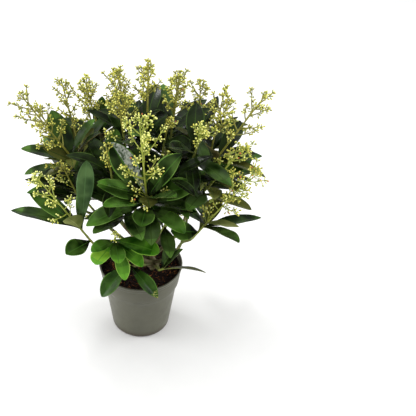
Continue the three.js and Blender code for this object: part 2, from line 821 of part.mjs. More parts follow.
// A leaf of the regular spiral: the lower it sits, the wider it stands out from its shoot.
function spiralLeaf(branch, shoot, index, attempt, seed) {
  const heading = shootHeading(shoot);
  const draw = draws(seed);
  const low = index / shoot.leaves;
  const side = attempt % 2 === 0 ? 1 : -1;
  const aside = side * ATTEMPT_TURN * Math.ceil(attempt / 2);
  const turn = shoot.turn + index * GOLDEN_ANGLE + 24 * (draw() - 0.5) + aside;
  const opened = attempt > ATTEMPTS_OPENED ? 12 : 0;
  const open = radians(LEAF_OPENING + LEAF_DROOP * low + 16 * (draw() - 0.5) + opened);
  const shortened = attempt > ATTEMPTS_SHORTENED ? 0.78 : 1;
  const middle = Math.sin(Math.PI * (0.25 + 0.6 * low));
  const length = shortened * (LEAF_LENGTH + LEAF_MIDDLE_LENGTH * middle + LEAF_LENGTH_DRAW * draw());
  const blade = along(square(heading, turn).multiplyScalar(Math.sin(open)), heading, Math.cos(open));
  blade.addScaledVector(UP, LEAF_LIFT * (1 - blade.z)).normalize();
  const upper = heading.clone().addScaledVector(UP, 0.8);
  upper.addScaledVector(blade, -upper.dot(blade)).normalize();
  return {
    root: along(point(shoot), heading, -(3 + (leafyLength(branch, shoot) - 5) * low ** 1.3)),
    heading: blade,
    upper,
    length,
    width: length * (LEAF_SLENDERNESS + 0.05 * (draw() - 0.5)),
    bend: LEAF_BEND + LEAF_BEND_DRAW * draw(),
  };
}

function featureLeaf(shoot, row) {
  const blade = leaning(90 - row.rise - row.bend / 2, row.bearing);
  const upper = UP.clone().addScaledVector(blade, -UP.dot(blade)).normalize();
  upper.applyAxisAngle(blade, radians(row.roll ?? 0));
  return {
    root: along(point(shoot), shootHeading(shoot), -row.below),
    heading: blade,
    upper,
    length: row.length,
    width: row.width,
    bend: row.bend,
  };
}

// ---- growing ------------------------------------------------------------------------------------

// What already stands: the owner's number, the whole body, and the part clear of its own root.
const standing = [{ owner: -1, whole: potSpace, free: potSpace }];

function stand(owner, whole, free) {
  standing.push({ owner, whole, free });
}

function isClear(owner, whole, free) {
  return standing.every((other) => (
    other.owner === owner ? !touches(free, other.free) : !touches(whole, other.whole)
  ));
}

const masses = BRANCHES.map(() => []);

const stemSpace = obstacle(mainStem(MARGIN));
stand(-1, stemSpace, stemSpace);
BRANCHES.forEach((branch, owner) => {
  const space = obstacle(boughBody(branch, MARGIN));
  stand(-1, space, space);
  masses[owner].push(...twigBodies(branch, 0));
  for (const body of twigBodies(branch, MARGIN)) {
    const whole = obstacle(body);
    stand(owner, whole, whole);
  }
});

function growStalk(owner, shoot) {
  if (!shoot.spray) return;
  masses[owner].push(stalkBody(shoot, 0));
  const whole = obstacle(stalkBody(shoot, MARGIN));
  stand(owner, whole, whole);
}

function growSprayTwigs(owner, shoot, seed) {
  if (!shoot.spray) return;
  for (const twig of sprayTwigs(shoot, seed)) {
    const body = sprayTwigBody(twig, 0);
    const space = obstacle(body);
    if (standing.some((other) => other.owner !== owner && touches(space, other.whole))) continue;
    masses[owner].push(body);
    const whole = obstacle(sprayTwigBody(twig, MARGIN));
    stand(owner, whole, whole);
  }
}

function growLeaf(owner, leaf) {
  const whole = obstacle(leafBody(leaf, 0));
  const free = obstacle(leafBody({ ...leaf, open: true }, 0));
  if (!isClear(owner, whole, free)) return false;
  masses[owner].push(leafBody(leaf, 0));
  stand(owner, obstacle(leafBody(leaf, MARGIN)), obstacle(leafBody({ ...leaf, open: true }, MARGIN)));
  return true;
}

function eachShoot(action) {
  let number = 0;
  BRANCHES.forEach((branch, owner) => {
    for (const shoot of branch.shoots) {
      number += 1;
      action(owner, shoot, number);
    }
  });
}

eachShoot(growStalk);
for (const row of FEATURE_LEAVES) {
  const owner = BRANCHES.findIndex((branch) => branch.name === row.branch);
  growLeaf(owner, featureLeaf(BRANCHES[owner].shoots[row.shoot], row));
}
eachShoot(growSprayTwigs);
const MOST_LEAVES = Math.max(...BRANCHES.flatMap((branch) => branch.shoots.map((shoot) => shoot.leaves)));
for (let index = 0; index < MOST_LEAVES; index += 1) {
  eachShoot((owner, shoot, number) => {
    if (index >= shoot.leaves) return;
    for (let attempt = 0; attempt < ATTEMPTS; attempt += 1) {
      if (growLeaf(owner, spiralLeaf(BRANCHES[owner], shoot, index, attempt, number * 40 + index))) break;
    }
  });
}

// ---- the assembly -------------------------------------------------------------------------------

const potPlastic = new THREE.MeshStandardMaterial({ color: 0x6b6a5e, roughness: 0.55, metalness: 0 });
const peat = new THREE.MeshStandardMaterial({ color: 0x3b2219, roughness: 0.95, metalness: 0 });
const bark = new THREE.MeshStandardMaterial({ color: 0x6d6a3a, roughness: 0.8, metalness: 0 });
const foliage = new THREE.MeshStandardMaterial({ color: 0x2f5a22, roughness: 0.4, metalness: 0 });

const skimmia = new THREE.Group();

function addPart(name, solid, material) {
  const mesh = new THREE.Mesh(toGeometry(solid), material);
  mesh.name = name;
  skimmia.add(mesh);
}

addPart("pot", potBody(), potPlastic);
addPart("compost", compostBody(), peat);
addPart("main_stem", toSolid(mainStem(0)), bark);

let limbSpace = toSolid(mainStem(CLEARANCE));
for (const branch of BRANCHES) {
  addPart(`bough_${branch.name}`, toSolid(boughBody(branch, 0)).subtract(limbSpace), bark);
  limbSpace = limbSpace.add(toSolid(boughBody(branch, CLEARANCE)));
}
BRANCHES.forEach((branch, owner) => {
  addPart(`foliage_${branch.name}`, fuse(masses[owner]), foliage);
});

export default skimmia;
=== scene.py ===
# A potted skimmia: a flowering evergreen shrub in a round nursery pot. The frame holds its pot,
# compost, limbs and masses of foliage as plain solids, and each is dressed here. Places and sizes
# are in millimetres until a mesh is made. +Z is up and the front is towards -Y.
import itertools
import math
import random

import bpy
import numpy as np
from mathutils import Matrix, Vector, noise
from mathutils.bvhtree import BVHTree


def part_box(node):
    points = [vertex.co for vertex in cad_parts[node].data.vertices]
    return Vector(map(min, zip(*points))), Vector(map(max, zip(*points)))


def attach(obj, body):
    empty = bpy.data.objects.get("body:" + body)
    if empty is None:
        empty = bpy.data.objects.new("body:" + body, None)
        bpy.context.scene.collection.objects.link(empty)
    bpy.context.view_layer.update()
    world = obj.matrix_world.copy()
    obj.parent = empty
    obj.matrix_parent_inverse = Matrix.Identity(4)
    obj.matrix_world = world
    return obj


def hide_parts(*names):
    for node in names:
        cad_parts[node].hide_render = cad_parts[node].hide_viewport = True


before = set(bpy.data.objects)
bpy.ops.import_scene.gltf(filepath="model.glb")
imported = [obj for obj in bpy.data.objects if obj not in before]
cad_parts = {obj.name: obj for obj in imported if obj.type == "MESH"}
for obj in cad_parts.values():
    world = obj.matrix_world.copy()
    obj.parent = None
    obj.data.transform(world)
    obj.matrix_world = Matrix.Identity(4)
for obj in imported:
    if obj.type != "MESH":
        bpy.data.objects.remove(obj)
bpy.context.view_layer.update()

# ---- Camera ----
# A camera on a stand a little over a metre away, looking down on the plant from the front. Its
# lens is shifted, so that the plant stands left of the middle.

MM = 0.001
FRAME_PIXELS = 416
SENSOR_WIDTH = 36.0
FOCAL_PIXELS = 700
CAMERA_BACK = 817
CAMERA_RISE = 849
CAMERA_PITCH = 37.3
PLANT_MIDDLE_PIXEL = 140.8


def add_to_scene(thing):
    bpy.context.scene.collection.objects.link(thing)
    return thing


camera_data = bpy.data.cameras.new("camera")
camera_data.sensor_width = SENSOR_WIDTH
camera_data.lens = SENSOR_WIDTH * FOCAL_PIXELS / FRAME_PIXELS
camera_data.shift_x = 0.5 - PLANT_MIDDLE_PIXEL / FRAME_PIXELS
camera = add_to_scene(bpy.data.objects.new("camera", camera_data))
camera.location = (0, -CAMERA_BACK * MM, CAMERA_RISE * MM)
camera.rotation_euler = (math.radians(90 - CAMERA_PITCH), 0, 0)
bpy.context.scene.camera = camera

# ---- Pot ----
# A thin-walled nursery pot of grey-brown polypropylene, injection moulded in one piece, with a deep
# collar under a rolled rim and six drain holes. It carries everything else.

POT_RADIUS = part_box("pot")[1].x / MM
POT_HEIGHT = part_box("pot")[1].z / MM
POT_BASE_RADIUS = 45.5
POT_WALL = 1.6
COLLAR_HEIGHT = 32
COLLAR_FOOT_RADIUS = 60
COLLAR_STEP = 2.2
FOOT_ROUND = 2
DRAIN_HOLES = 6
DRAIN_HOLE_RADIUS = 5
DRAIN_CIRCLE_RADIUS = 27
POT_SEGMENTS = 128
COLLAR_ROUND = 0.9
RIM_ROUND = 1.3
GROOVE_DEPTH = 0.35
GROOVES_BELOW_RIM = (9.0, 4.6)
COLLAR_SLOPE = 0.14
COLLAR_FOOT = POT_HEIGHT - COLLAR_HEIGHT
BODY_TOP_RADIUS = COLLAR_FOOT_RADIUS - COLLAR_STEP


def from_screen(red, green, blue):
    """The linear colour of an sRGB one, given as 0 to 255."""
    return tuple(((value / 255 + 0.055) / 1.055) ** 2.4 for value in (red, green, blue)) + (1,)


def new_finish(name, roughness, gloss):
    """A material with its node tree and its shader, ready for the patterns."""
    finish = bpy.data.materials.new(name)
    finish.use_nodes = True
    shader = finish.node_tree.nodes["Principled BSDF"]
    shader.inputs["Roughness"].default_value = roughness
    shader.inputs["Specular IOR Level"].default_value = gloss
    return finish, finish.node_tree, shader


def add_node(tree, kind, **inputs):
    """A node whose inputs are set to numbers or linked to what other nodes give."""
    node = tree.nodes.new("ShaderNode" + kind)
    for name, value in inputs.items():
        socket = node.inputs[name.replace("_", " ")]
        if isinstance(value, bpy.types.NodeSocket):
            tree.links.new(value, socket)
        else:
            socket.default_value = value
    return node


def add_noise(tree, patch, detail=4.0, grain=0.55):
    """Noise in the object's own space, whose patches are about that many millimetres wide."""
    place = add_node(tree, "TexCoord").outputs["Object"]
    scale = 1 / (patch * MM)
    node = add_node(tree, "TexNoise", Scale=scale, Detail=detail, Roughness=grain, Vector=place)
    return node.outputs["Fac"]


def add_ramp(tree, value, *stops):
    """A colour for each place of a value: stops are (place, colour)."""
    ramp = add_node(tree, "ValToRGB", Fac=value)
    for element, (place, colour) in zip(ramp.color_ramp.elements, stops):
        element.position = place
        element.color = colour
    return ramp.outputs["Color"]


def add_blend(tree, share, first, second):
    """A mix by a share of a colour that varies and a plain one."""
    blend = tree.nodes.new("ShaderNodeMix")
    blend.data_type = "RGBA"
    blend.inputs["B"].default_value = second
    tree.links.new(share, blend.inputs["Factor"])
    tree.links.new(first, blend.inputs["A"])
    return blend.outputs["Result"]


def add_relief(tree, shader, value, height):
    """Turns a pattern into relief of that many millimetres."""
    bump = add_node(tree, "Bump", Strength=1.0, Distance=height * MM, Height=value)
    tree.links.new(bump.outputs["Normal"], shader.inputs["Normal"])


def add_span(tree, value, start, end, first, last):
    """A value from start to end, made to run from first to last."""
    ends = dict(From_Min=start, From_Max=end, To_Min=first, To_Max=last)
    return add_node(tree, "MapRange", Value=value, **ends).outputs["Result"]


def vary_roughness(tree, shader, pattern, smoothest, roughest):
    """Spreads the roughness over the middle of a pattern, where nearly all of it lies."""
    span = add_span(tree, pattern, 0.3, 0.7, smoothest, roughest)
    tree.links.new(span, shader.inputs["Roughness"])


def make_piece(name, points, faces, finishes, dealt=None):
    """A smooth mesh from points in millimetres; dealt gives each face its finish's number."""
    mesh = bpy.data.meshes.new(name)
    mesh.from_pydata((np.asarray(points, float) * MM).tolist(), [], faces)
    for finish in finishes:
        mesh.materials.append(finish)
    if dealt is not None:
        mesh.polygons.foreach_set("material_index", np.asarray(dealt, np.int32))
    mesh.polygons.foreach_set("use_smooth", np.ones(len(mesh.polygons), bool))
    mesh.update()
    return add_to_scene(bpy.data.objects.new(name, mesh))


def polar(reach, angle, rise=0.0):
    """A place from its distance from the axis, its angle round it and its height."""
    return reach * math.cos(angle), reach * math.sin(angle), rise


def lathe(profile, segments):
    """A closed body turned about Z from a profile that starts and ends on the axis."""
    angles = np.arange(segments) * 2 * math.pi / segments
    points = [(0, 0, profile[0][1])]
    for radius, height in profile[1:-1]:
        points.extend(polar(radius, angle, height) for angle in angles)
    points.append((0, 0, profile[-1][1]))
    faces = []
    for side in range(segments):
        other = (side + 1) % segments
        faces.append((0, 1 + other, 1 + side))
        for row in range(len(profile) - 3):
            here = 1 + row * segments
            there = here + segments
            faces.append((here + side, here + other, there + other, there + side))
        last = 1 + (len(profile) - 3) * segments
        faces.append((last + side, last + other, len(points) - 1))
    return points, faces


def arc(centre, radius, start, end, steps):
    """Points of a profile on an arc, from one angle to another in degrees."""
    points = []
    for step in range(steps + 1):
        out, up, _ = polar(radius, math.radians(start + (end - start) * step / steps))
        points.append((centre[0] + out, centre[1] + up))
    return points


def pot_profile():
    """The pot's outline from the middle of its underside, up outside and down inside."""
    inner_foot = POT_BASE_RADIUS - POT_WALL
    profile = [(0, 0), (POT_BASE_RADIUS - FOOT_ROUND, 0)]
    profile += arc((POT_BASE_RADIUS - FOOT_ROUND, FOOT_ROUND), FOOT_ROUND, -80, -15, 4)
    foot_edge = POT_BASE_RADIUS + 0.6
    profile += [(foot_edge, FOOT_ROUND), (foot_edge + 0.5, FOOT_ROUND + 3)]
    profile += [(BODY_TOP_RADIUS - 1.6, COLLAR_FOOT - 10), (BODY_TOP_RADIUS, COLLAR_FOOT - 1)]
    collar_bend = (COLLAR_FOOT_RADIUS - COLLAR_ROUND, COLLAR_FOOT + 0.4)
    profile += arc(collar_bend, COLLAR_ROUND, -60, 0, 3)
    profile += [(COLLAR_FOOT_RADIUS + 0.15, COLLAR_FOOT + 1.2)]
    for below in GROOVES_BELOW_RIM:
        radius = POT_RADIUS - 0.6 - below * COLLAR_SLOPE
        height = POT_HEIGHT - below
        profile += [(radius, height - 0.5), (radius - GROOVE_DEPTH, height)]
        profile += [(radius + 0.05, height + 0.5)]
    profile += arc((POT_RADIUS - RIM_ROUND, POT_HEIGHT - RIM_ROUND), RIM_ROUND, -40, 150, 8)
    profile += [(POT_RADIUS - POT_WALL - 0.9, POT_HEIGHT - 3.2)]
    profile += [(COLLAR_FOOT_RADIUS - POT_WALL, COLLAR_FOOT + 2)]
    profile += [(BODY_TOP_RADIUS - POT_WALL, COLLAR_FOOT - 1)]
    return profile + [(inner_foot, FOOT_ROUND), (inner_foot - 1, POT_WALL), (0, POT_WALL)]


def plastic_finish():
    """Satin grey-brown plastic, a little mottled, with a browner stain at the foot."""
    finish, tree, shader = new_finish("nursery_plastic", 0.42, 0.5)
    tones = (0.3, from_screen(73, 73, 58)), (0.7, from_screen(82, 82, 66))
    body = add_ramp(tree, add_noise(tree, 34, detail=3), *tones)
    place = add_node(tree, "TexCoord").outputs["Object"]
    height = add_node(tree, "SeparateXYZ", Vector=place).outputs["Z"]
    stained = add_span(tree, height, 2 * MM, 13 * MM, 1.0, 0.0)
    colour = add_blend(tree, stained, body, from_screen(58, 48, 32))
    tree.links.new(colour, shader.inputs["Base Color"])
    vary_roughness(tree, shader, add_noise(tree, 12), 0.38, 0.5)
    add_relief(tree, shader, add_noise(tree, 1.6, detail=2), 0.05)
    return finish


pot = make_piece("nursery_pot", *lathe(pot_profile(), POT_SEGMENTS), [plastic_finish()])
for hole in range(DRAIN_HOLES):
    drill_profile = [(0, -2), (DRAIN_HOLE_RADIUS, -2), (DRAIN_HOLE_RADIUS, 4), (0, 4)]
    drill = make_piece("drill", *lathe(drill_profile, 32), [])
    drill.location = polar(DRAIN_CIRCLE_RADIUS * MM, hole * 2 * math.pi / DRAIN_HOLES)
    cut = pot.modifiers.new("hole", "BOOLEAN")
    cut.object = drill
    cut.operation = "DIFFERENCE"
    with bpy.context.temp_override(object=pot, active_object=pot):
        bpy.ops.object.modifier_apply(modifier=cut.name)
    bpy.data.objects.remove(drill)
pot.data.polygons.foreach_set("use_smooth", np.ones(len(pot.data.polygons), bool))
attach(pot, "root")
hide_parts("pot")

# ---- Compost ----
# Dark red-brown peat that fills the pot to a finger below the rim, uneven on top, with chips of
# bark and a few fibres strewn over it and pressed in.

COMPOST_TOP = 111
COMPOST_CROWN = 1.5
COMPOST_RINGS = 44
COMPOST_SEGMENTS = 128
COMPOST_EDGE = POT_RADIUS - 6
LUMP_WIDTH = 9
LUMP_HEIGHT = 1.5
CRUMB_WIDTH = 3.2
CRUMB_HEIGHT = 0.8
CLEARANCE = 0.3
STEM_PLACE = (20, 2)
STEM_ROOM = 11
CHIPS = 900
CHIP_SUNK = 0.35
FIBRES = 160
FIBRE_RADIUS = 0.22
FIBRE_STEP = 1.5


def compost_height(x, y):
    """The uneven surface: lumps over crumbs, a little higher round the main stem."""
    lumps = noise.noise((x / LUMP_WIDTH, y / LUMP_WIDTH, 3.1))
    crumbs = noise.noise((x / CRUMB_WIDTH, y / CRUMB_WIDTH, 7.7))
    mound = math.exp(-((x - STEM_PLACE[0]) ** 2 + (y - STEM_PLACE[1]) ** 2) / 20**2)
    middle = COMPOST_TOP - 0.6 + COMPOST_CROWN * mound
    return middle + LUMP_HEIGHT * lumps + CRUMB_HEIGHT * crumbs


def compost_body():
    inset = POT_WALL + CLEARANCE
    top_edge = COMPOST_EDGE + 2.6
    profile = [(0, inset), (POT_BASE_RADIUS - inset - 1.4, inset)]
    profile += [(BODY_TOP_RADIUS - inset - 0.3, COLLAR_FOOT - 1)]
    profile += [(COLLAR_FOOT_RADIUS - inset - 0.3, COLLAR_FOOT + 2.4)]
    profile += [(COMPOST_EDGE + 2.8, COMPOST_TOP - 3)]
    first = 1 + (len(profile) - 1) * COMPOST_SEGMENTS
    for ring in range(COMPOST_RINGS):
        profile.append((top_edge - top_edge * ring / COMPOST_RINGS, COMPOST_TOP))
    points, faces = lathe(profile + [(0, COMPOST_TOP)], COMPOST_SEGMENTS)
    surface = [(x, y, compost_height(x, y)) for x, y, _ in points[first:]]
    return points[:first] + surface, faces


def two_tone(name, dark, light, roughness, gloss, patch, detail, stops, grain=0.55):
    """A finish that wanders between two colours, its tree, its shader and its pattern."""
    finish, tree, shader = new_finish(name, roughness, gloss)
    pattern = add_noise(tree, patch, detail, grain)
    colour = add_ramp(tree, pattern, *zip(stops, (from_screen(*dark), from_screen(*light))))
    tree.links.new(colour, shader.inputs["Base Color"])
    return finish, tree, shader, pattern


def speckled(name, dark, light, patch, roughness, relief):
    """A dull finish with relief at the same scale as its two colours."""
    finish, tree, shader, pattern = two_tone(
        name, dark, light, roughness, 0.15, patch, 6, (0.36, 0.66), grain=0.65
    )
    add_relief(tree, shader, pattern, relief)
    return finish


class Heap:
    """Small bodies gathered into one mesh, each face with its own finish."""

    def __init__(self):
        self.points = []
        self.faces = []
        self.dealt = []
        self.count = 0

    def add(self, points, faces, dealt):
        """Adds a body; dealt is one finish for it all, or a list of one for each face."""
        start = self.count
        self.points.append(np.asarray(points, float).reshape(-1, 3))
        self.count += len(self.points[-1])
        self.faces.extend(tuple(corner + start for corner in face) for face in faces)
        self.dealt.extend([dealt] * len(faces) if isinstance(dealt, int) else dealt)

    def make(self, name, finishes):
        return make_piece(name, np.concatenate(self.points), self.faces, finishes, self.dealt)


CHIP_FACES = (
    (0, 3, 2, 1), (4, 5, 6, 7), (0, 1, 5, 4), (1, 2, 6, 5), (2, 3, 7, 6), (3, 0, 4, 7),
)
CHIP_CORNERS = tuple(
    (a, b, high) for high in (-1, 1) for a, b in ((-1, -1), (1, -1), (1, 1), (-1, 1))
)


def strew_chips(heap, rng):
    """Splinters of bark: long thin blocks with odd corners, turned and tipped at random."""
    for _ in range(CHIPS):
        reach = (POT_RADIUS - 7.5) * math.sqrt(rng.random())
        bearing = rng.uniform(0, 2 * math.pi)
        x, y, _ = polar(reach, bearing)
        if math.dist((x, y), STEM_PLACE) < STEM_ROOM:
            continue
        length = rng.uniform(1.6, 4.6) if rng.random() < 0.8 else rng.uniform(4.6, 9)
        size = Vector((length, length * rng.uniform(0.3, 0.6), rng.uniform(0.7, 1.5))) / 2
        along = Vector(polar(1, bearing * 7, rng.uniform(-0.35, 0.35))).normalized()
        across = Vector((-along.y, along.x, rng.uniform(-0.5, 0.5))).normalized()
        axes = (along, across, along.cross(across).normalized())
        middle = Vector((x, y, compost_height(x, y) + CHIP_SUNK * size.z))
        corners = []
        for signs in CHIP_CORNERS:
            corner = middle
            for axis, sign, half in zip(axes, signs, size):
                corner = corner + axis * (sign * half * rng.uniform(0.55, 1.1))
            corners.append(corner)
        heap.add(corners, CHIP_FACES, rng.choices((0, 1, 2), (4, 5, 0.9))[0])


def turned(start, other, angle):
    """A direction turned by an angle towards another one that is square to it."""
    return start * math.cos(angle) + other * math.sin(angle)


def strand(centres, radii, sides):
    """A tapering tube through a row of centres, with flat ends, that doesn't twist."""
    centres = [Vector(centre) for centre in centres]
    last = len(centres) - 1
    points = []
    side = None
    for index, centre in enumerate(centres):
        ahead = centres[min(index + 1, last)] - centres[max(index - 1, 0)]
        ahead.normalize()
        if side is None:
            side = ahead.orthogonal().normalized()
        side = (side - ahead * side.dot(ahead)).normalized()
        other = ahead.cross(side)
        for turn in range(sides):
            points.append(centre + turned(side, other, 2 * math.pi * turn / sides) * radii[index])
    faces = [tuple(range(sides - 1, -1, -1))]
    for here in range(0, last * sides, sides):
        for turn in range(sides):
            follow = (turn + 1) % sides
            faces.append((here + turn, here + follow, here + sides + follow, here + sides + turn))
    faces.append(tuple(last * sides + turn for turn in range(sides)))
    return points, faces


def strew_fibres(heap, rng):
    for _ in range(FIBRES):
        reach = (POT_RADIUS - 9) * math.sqrt(rng.random())
        place = Vector(polar(reach, rng.uniform(0, 2 * math.pi)))
        heading = rng.uniform(0, 2 * math.pi)
        bend = rng.uniform(-0.25, 0.25)
        centres = []
        for _ in range(6):
            place += Vector(polar(1, heading)) * FIBRE_STEP
            heading += bend
            if place.length > COMPOST_EDGE:
                break
            centres.append((place.x, place.y, compost_height(place.x, place.y) + 0.35))
        if len(centres) > 2:
            heap.add(*strand(centres, [FIBRE_RADIUS] * len(centres), 4), 2)


peat = speckled("peat", (9, 5, 4), (34, 17, 12), 3.5, 0.95, 0.7)
chip_finishes = [
    speckled("bark_chip_brown", (26, 13, 9), (62, 33, 22), 2.2, 0.9, 0.3),
    speckled("bark_chip_dark", (11, 7, 5), (28, 17, 12), 2.2, 0.9, 0.3),
    speckled("bark_chip_orange", (92, 50, 25), (156, 98, 54), 2.2, 0.85, 0.3),
]
compost = make_piece("peat_compost", *compost_body(), [peat])
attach(compost, "root")
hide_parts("compost")
chip_heap = Heap()
strew_chips(chip_heap, random.Random(41))
strew_fibres(chip_heap, random.Random(42))
chips = chip_heap.make("bark_chips", chip_finishes)
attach(chips, "root")

# ---- Main stem and boughs ----
# The woody frame: a short main stem that flares at the compost, and the boughs that leave it one
# above the other. Their bark is smooth, brown-green and ringed with old leaf scars.

STEM_BASE = COMPOST_TOP + COMPOST_CROWN + CLEARANCE
STEM_END = 172
STEM_SUNK = 0.8
STEM_ROWS = 46
STEM_SIDES = 32
STEM_FLARE_RADIUS = 9.5
STEM_FLARE_HEIGHT = 9
STEM_RADIUS = 6.2
STEM_TOP_RADIUS = 4.6
BUTTRESSES = 5
BUTTRESS_DEPTH = 0.14
BOUGH_FOOT_RADIUS = 3.1
BOUGH_TIP_RADIUS = 2.4
BOUGH_ROWS = 40
BOUGH_SIDES = 12
BOUGH_SPLAY = 0.35
CURVE_HANDLE = 0.38
BARK_DEPTH = 0.22
STEM_BARK_DEPTH = 0.45
SCAR_PITCH = 9
STEM_SCAR_PITCH = 13
RIDGE_LENGTH = 14
KNOB_WIDTH = 2.6
LEAFY_LENGTH = 42
UP = Vector((0, 0, 1))

# Each row is one bough: its name, how high it leaves the main stem, where it ends and its mass of
# foliage begins, and the shoots of that mass. A place is a bearing in degrees, a distance from the
# pot's axis and a height. A shoot's row goes on with how far it leans from upright and towards
# which bearing, its count of leaves and the turn of the first, and then the length of its flower
# spray, the part of that without side twigs, and the spray's radius.
BRANCH_ROWS = [
    ("lower_right", 119, (-33, 68, 186), [
        (-33, 110, 248, 31, -15, 3, 150, 116, 26, 27),
        (-20, 103, 296, 32, -14, 8, 10, 78, 16, 24),
    ]),
    ("young_front", 121, (-108, 56, 186), [
        (-114, 87, 234, 22, -80, 0, 100, 12, 3, 5),
    ]),
    ("low_front", 118, (-100, 30, 140), [
        (-108, 55, 162, 40, -100, 0, 0),
    ]),
    ("low_right", 117, (-36, 33, 125), [
        (-48, 51, 141, 45, -50, 0, 0),
    ]),
    ("lower_left", 125, (-143, 62, 188), [
        (-145, 104, 238, 29, -168, 1, 80, 110, 22, 28),
    ]),
    ("centre_left", 134, (-122, 28, 205), [
        (-116, 54, 264, 22, -118, 6, 40),
    ]),
    ("centre_right", 127, (-58, 36, 192), [
        (-54, 64, 240, 30, -50, 4, 60),
    ]),
    ("low_back_right", 129, (18, 68, 182), [
        (17, 106, 258, 35, 10, 9, 30),
    ]),
    ("low_back_left", 131, (165, 58, 190), [
        (168, 96, 244, 35, 170, 9, 75),
    ]),
    ("back_left", 137, (138, 66, 205), [
        (150, 122, 268, 35, 150, 9, 20, 95, 20, 26),
        (125, 118, 280, 28, 120, 9, 55, 88, 18, 26),
    ]),
    ("back_right", 141, (55, 66, 205), [
        (42, 126, 262, 35, 40, 9, 85, 95, 20, 26),
        (72, 120, 280, 28, 75, 9, 15, 88, 18, 26),
    ]),
    ("right", 146, (-4, 58, 240), [
        (5, 98, 318, 9, 24, 8, 40, 95, 24, 22),
        (-8, 106, 325, 29, -6, 8, 95, 114, 26, 27),
    ]),
    ("upper_left", 150, (174, 52, 235), [
        (180, 98, 318, 31, -175, 8, 70, 114, 14, 32),
        (160, 92, 305, 11, 167, 8, 5, 112, 30, 19),
    ]),
    ("front", 153, (-80, 36, 220), [
        (-83, 60, 296, 5, -154, 9, 25, 122, 16, 36),
    ]),
    ("inner_left", 157, (-140, 36, 230), [
        (-134, 58, 322, 12, -120, 9, 65, 46, 12, 15),
        (-163, 98, 286, 20, 178, 8, 45, 42, 18, 10),
    ]),
    ("inner_right", 158, (-28, 40, 240), [
        (-22, 79, 345, 14, -40, 9, 90, 40, 12, 20),
        (-50, 62, 318, 18, -50, 8, 20),
    ]),
    ("right_back", 161, (38, 48, 245), [
        (35, 105, 322, 11, 100, 9, 50, 74, 18, 21),
        (58, 84, 330, 18, 60, 8, 110, 74, 16, 22),
    ]),
    ("left_back", 163, (140, 44, 245), [
        (135, 85, 318, 13, 162, 9, 30, 86, 28, 18),
        (112, 84, 330, 18, 110, 8, 80, 74, 16, 22),
    ]),
    ("back", 166, (88, 42, 235), [
        (88, 96, 308, 24, 90, 9, 10, 86, 18, 24),
    ]),
    ("top", 169, (130, 14, 260), [
        (121, 35, 340, 9, 156, 8, 35, 90, 28, 24),
        (60, 17, 358, 1, 0, 8, 75, 94, 36, 18),
        (190, 24, 356, 6, 180, 7, 0, 60, 18, 22),
    ]),
    ("top_right", 171, (20, 26, 262), [
        (35, 53, 342, 8, 37, 8, 15, 80, 22, 23),
        (10, 34, 342, 8, -20, 8, 60, 34, 10, 14),
    ]),
]
SHOOT_WORDS = ("leaves", "turn", "spray", "bare", "spread")


def point(bearing, reach, rise):
    """A place from its bearing in degrees, its distance from the axis and its height."""
    return Vector(polar(reach, math.radians(bearing), rise))


def leaning(lean, toward):
    """The direction that leans from upright towards a bearing, both in degrees."""
    lean = math.radians(lean)
    return Vector(polar(math.sin(lean), math.radians(toward), math.cos(lean)))


# A shoot is curved up to its knee, and the straight stretch from there to its end bears leaves.
BRANCHES = {}
SHOOTS = []
for name, height, tip, shoot_rows in BRANCH_ROWS:
    tip = point(*tip)
    middle = Vector()
    shoots = []
    for bearing, reach, rise, lean, toward, *rest in shoot_rows:
        shoot = dict(zip(SHOOT_WORDS, rest))
        shoot["end"] = point(bearing, reach, rise)
        shoot["heading"] = leaning(lean, toward)
        shoot["leafy"] = min(LEAFY_LENGTH, 0.5 * (tip - shoot["end"]).length)
        shoot["knee"] = shoot["end"] - shoot["heading"] * shoot["leafy"]
        middle += shoot["knee"] / len(shoot_rows)
        shoots.append(shoot)
        SHOOTS.append((name, shoot))
        shoot["order"] = len(SHOOTS)
    heading = (middle - tip).normalized()
    BRANCHES[name] = dict(leaves=height, tip=tip, heading=heading, shoots=shoots)


def square(direction, turn):
    """The unit vector square to a direction that is turned by an angle about it."""
    return UP.rotation_difference(direction) @ Vector(polar(1, math.radians(turn)))


# The stem stands right of the pot's middle and leans in over it.
STEM_FOOT = point(5, 20, STEM_BASE)
STEM_TOP = point(40, 6, STEM_END)


def stem_centre(height):
    return STEM_FOOT.lerp(STEM_TOP, (height - STEM_BASE) / (STEM_END - STEM_BASE))


def curve_points(start, start_heading, end, end_heading, steps):
    """Points on a smooth limb that leaves and arrives along two headings."""
    handle = CURVE_HANDLE * (end - start).length
    first = start + start_heading * handle
    second = end - end_heading * handle
    points = []
    for step in range(steps + 1):
        share = step / steps
        left = 1 - share
        early = start * left**3 + first * (3 * left * left * share)
        points.append(early + second * (3 * left * share * share) + end * share**3)
    return points


def add_bark(points, centres, sides, depth, scar_pitch):
    """Moves a limb's skin in and out: long ridges, small knobs and rings at the old leaf scars."""
    walked = 0.0
    for row, centre in enumerate(centres):
        if row > 0:
            walked += (centre - centres[row - 1]).length
        ring = math.exp(-(((walked / scar_pitch) % 1 - 0.5) ** 2) / 0.006)
        for index in range(row * sides, (row + 1) * sides):
            corner = Vector(points[index])
            outward = (corner - centre).normalized()
            ridge = noise.noise(Vector((outward.x * 2.2, outward.y * 2.2, walked / RIDGE_LENGTH)))
            knob = noise.noise(corner / KNOB_WIDTH)
            points[index] = corner + outward * depth * (ridge + 0.6 * knob + ring)
    return points


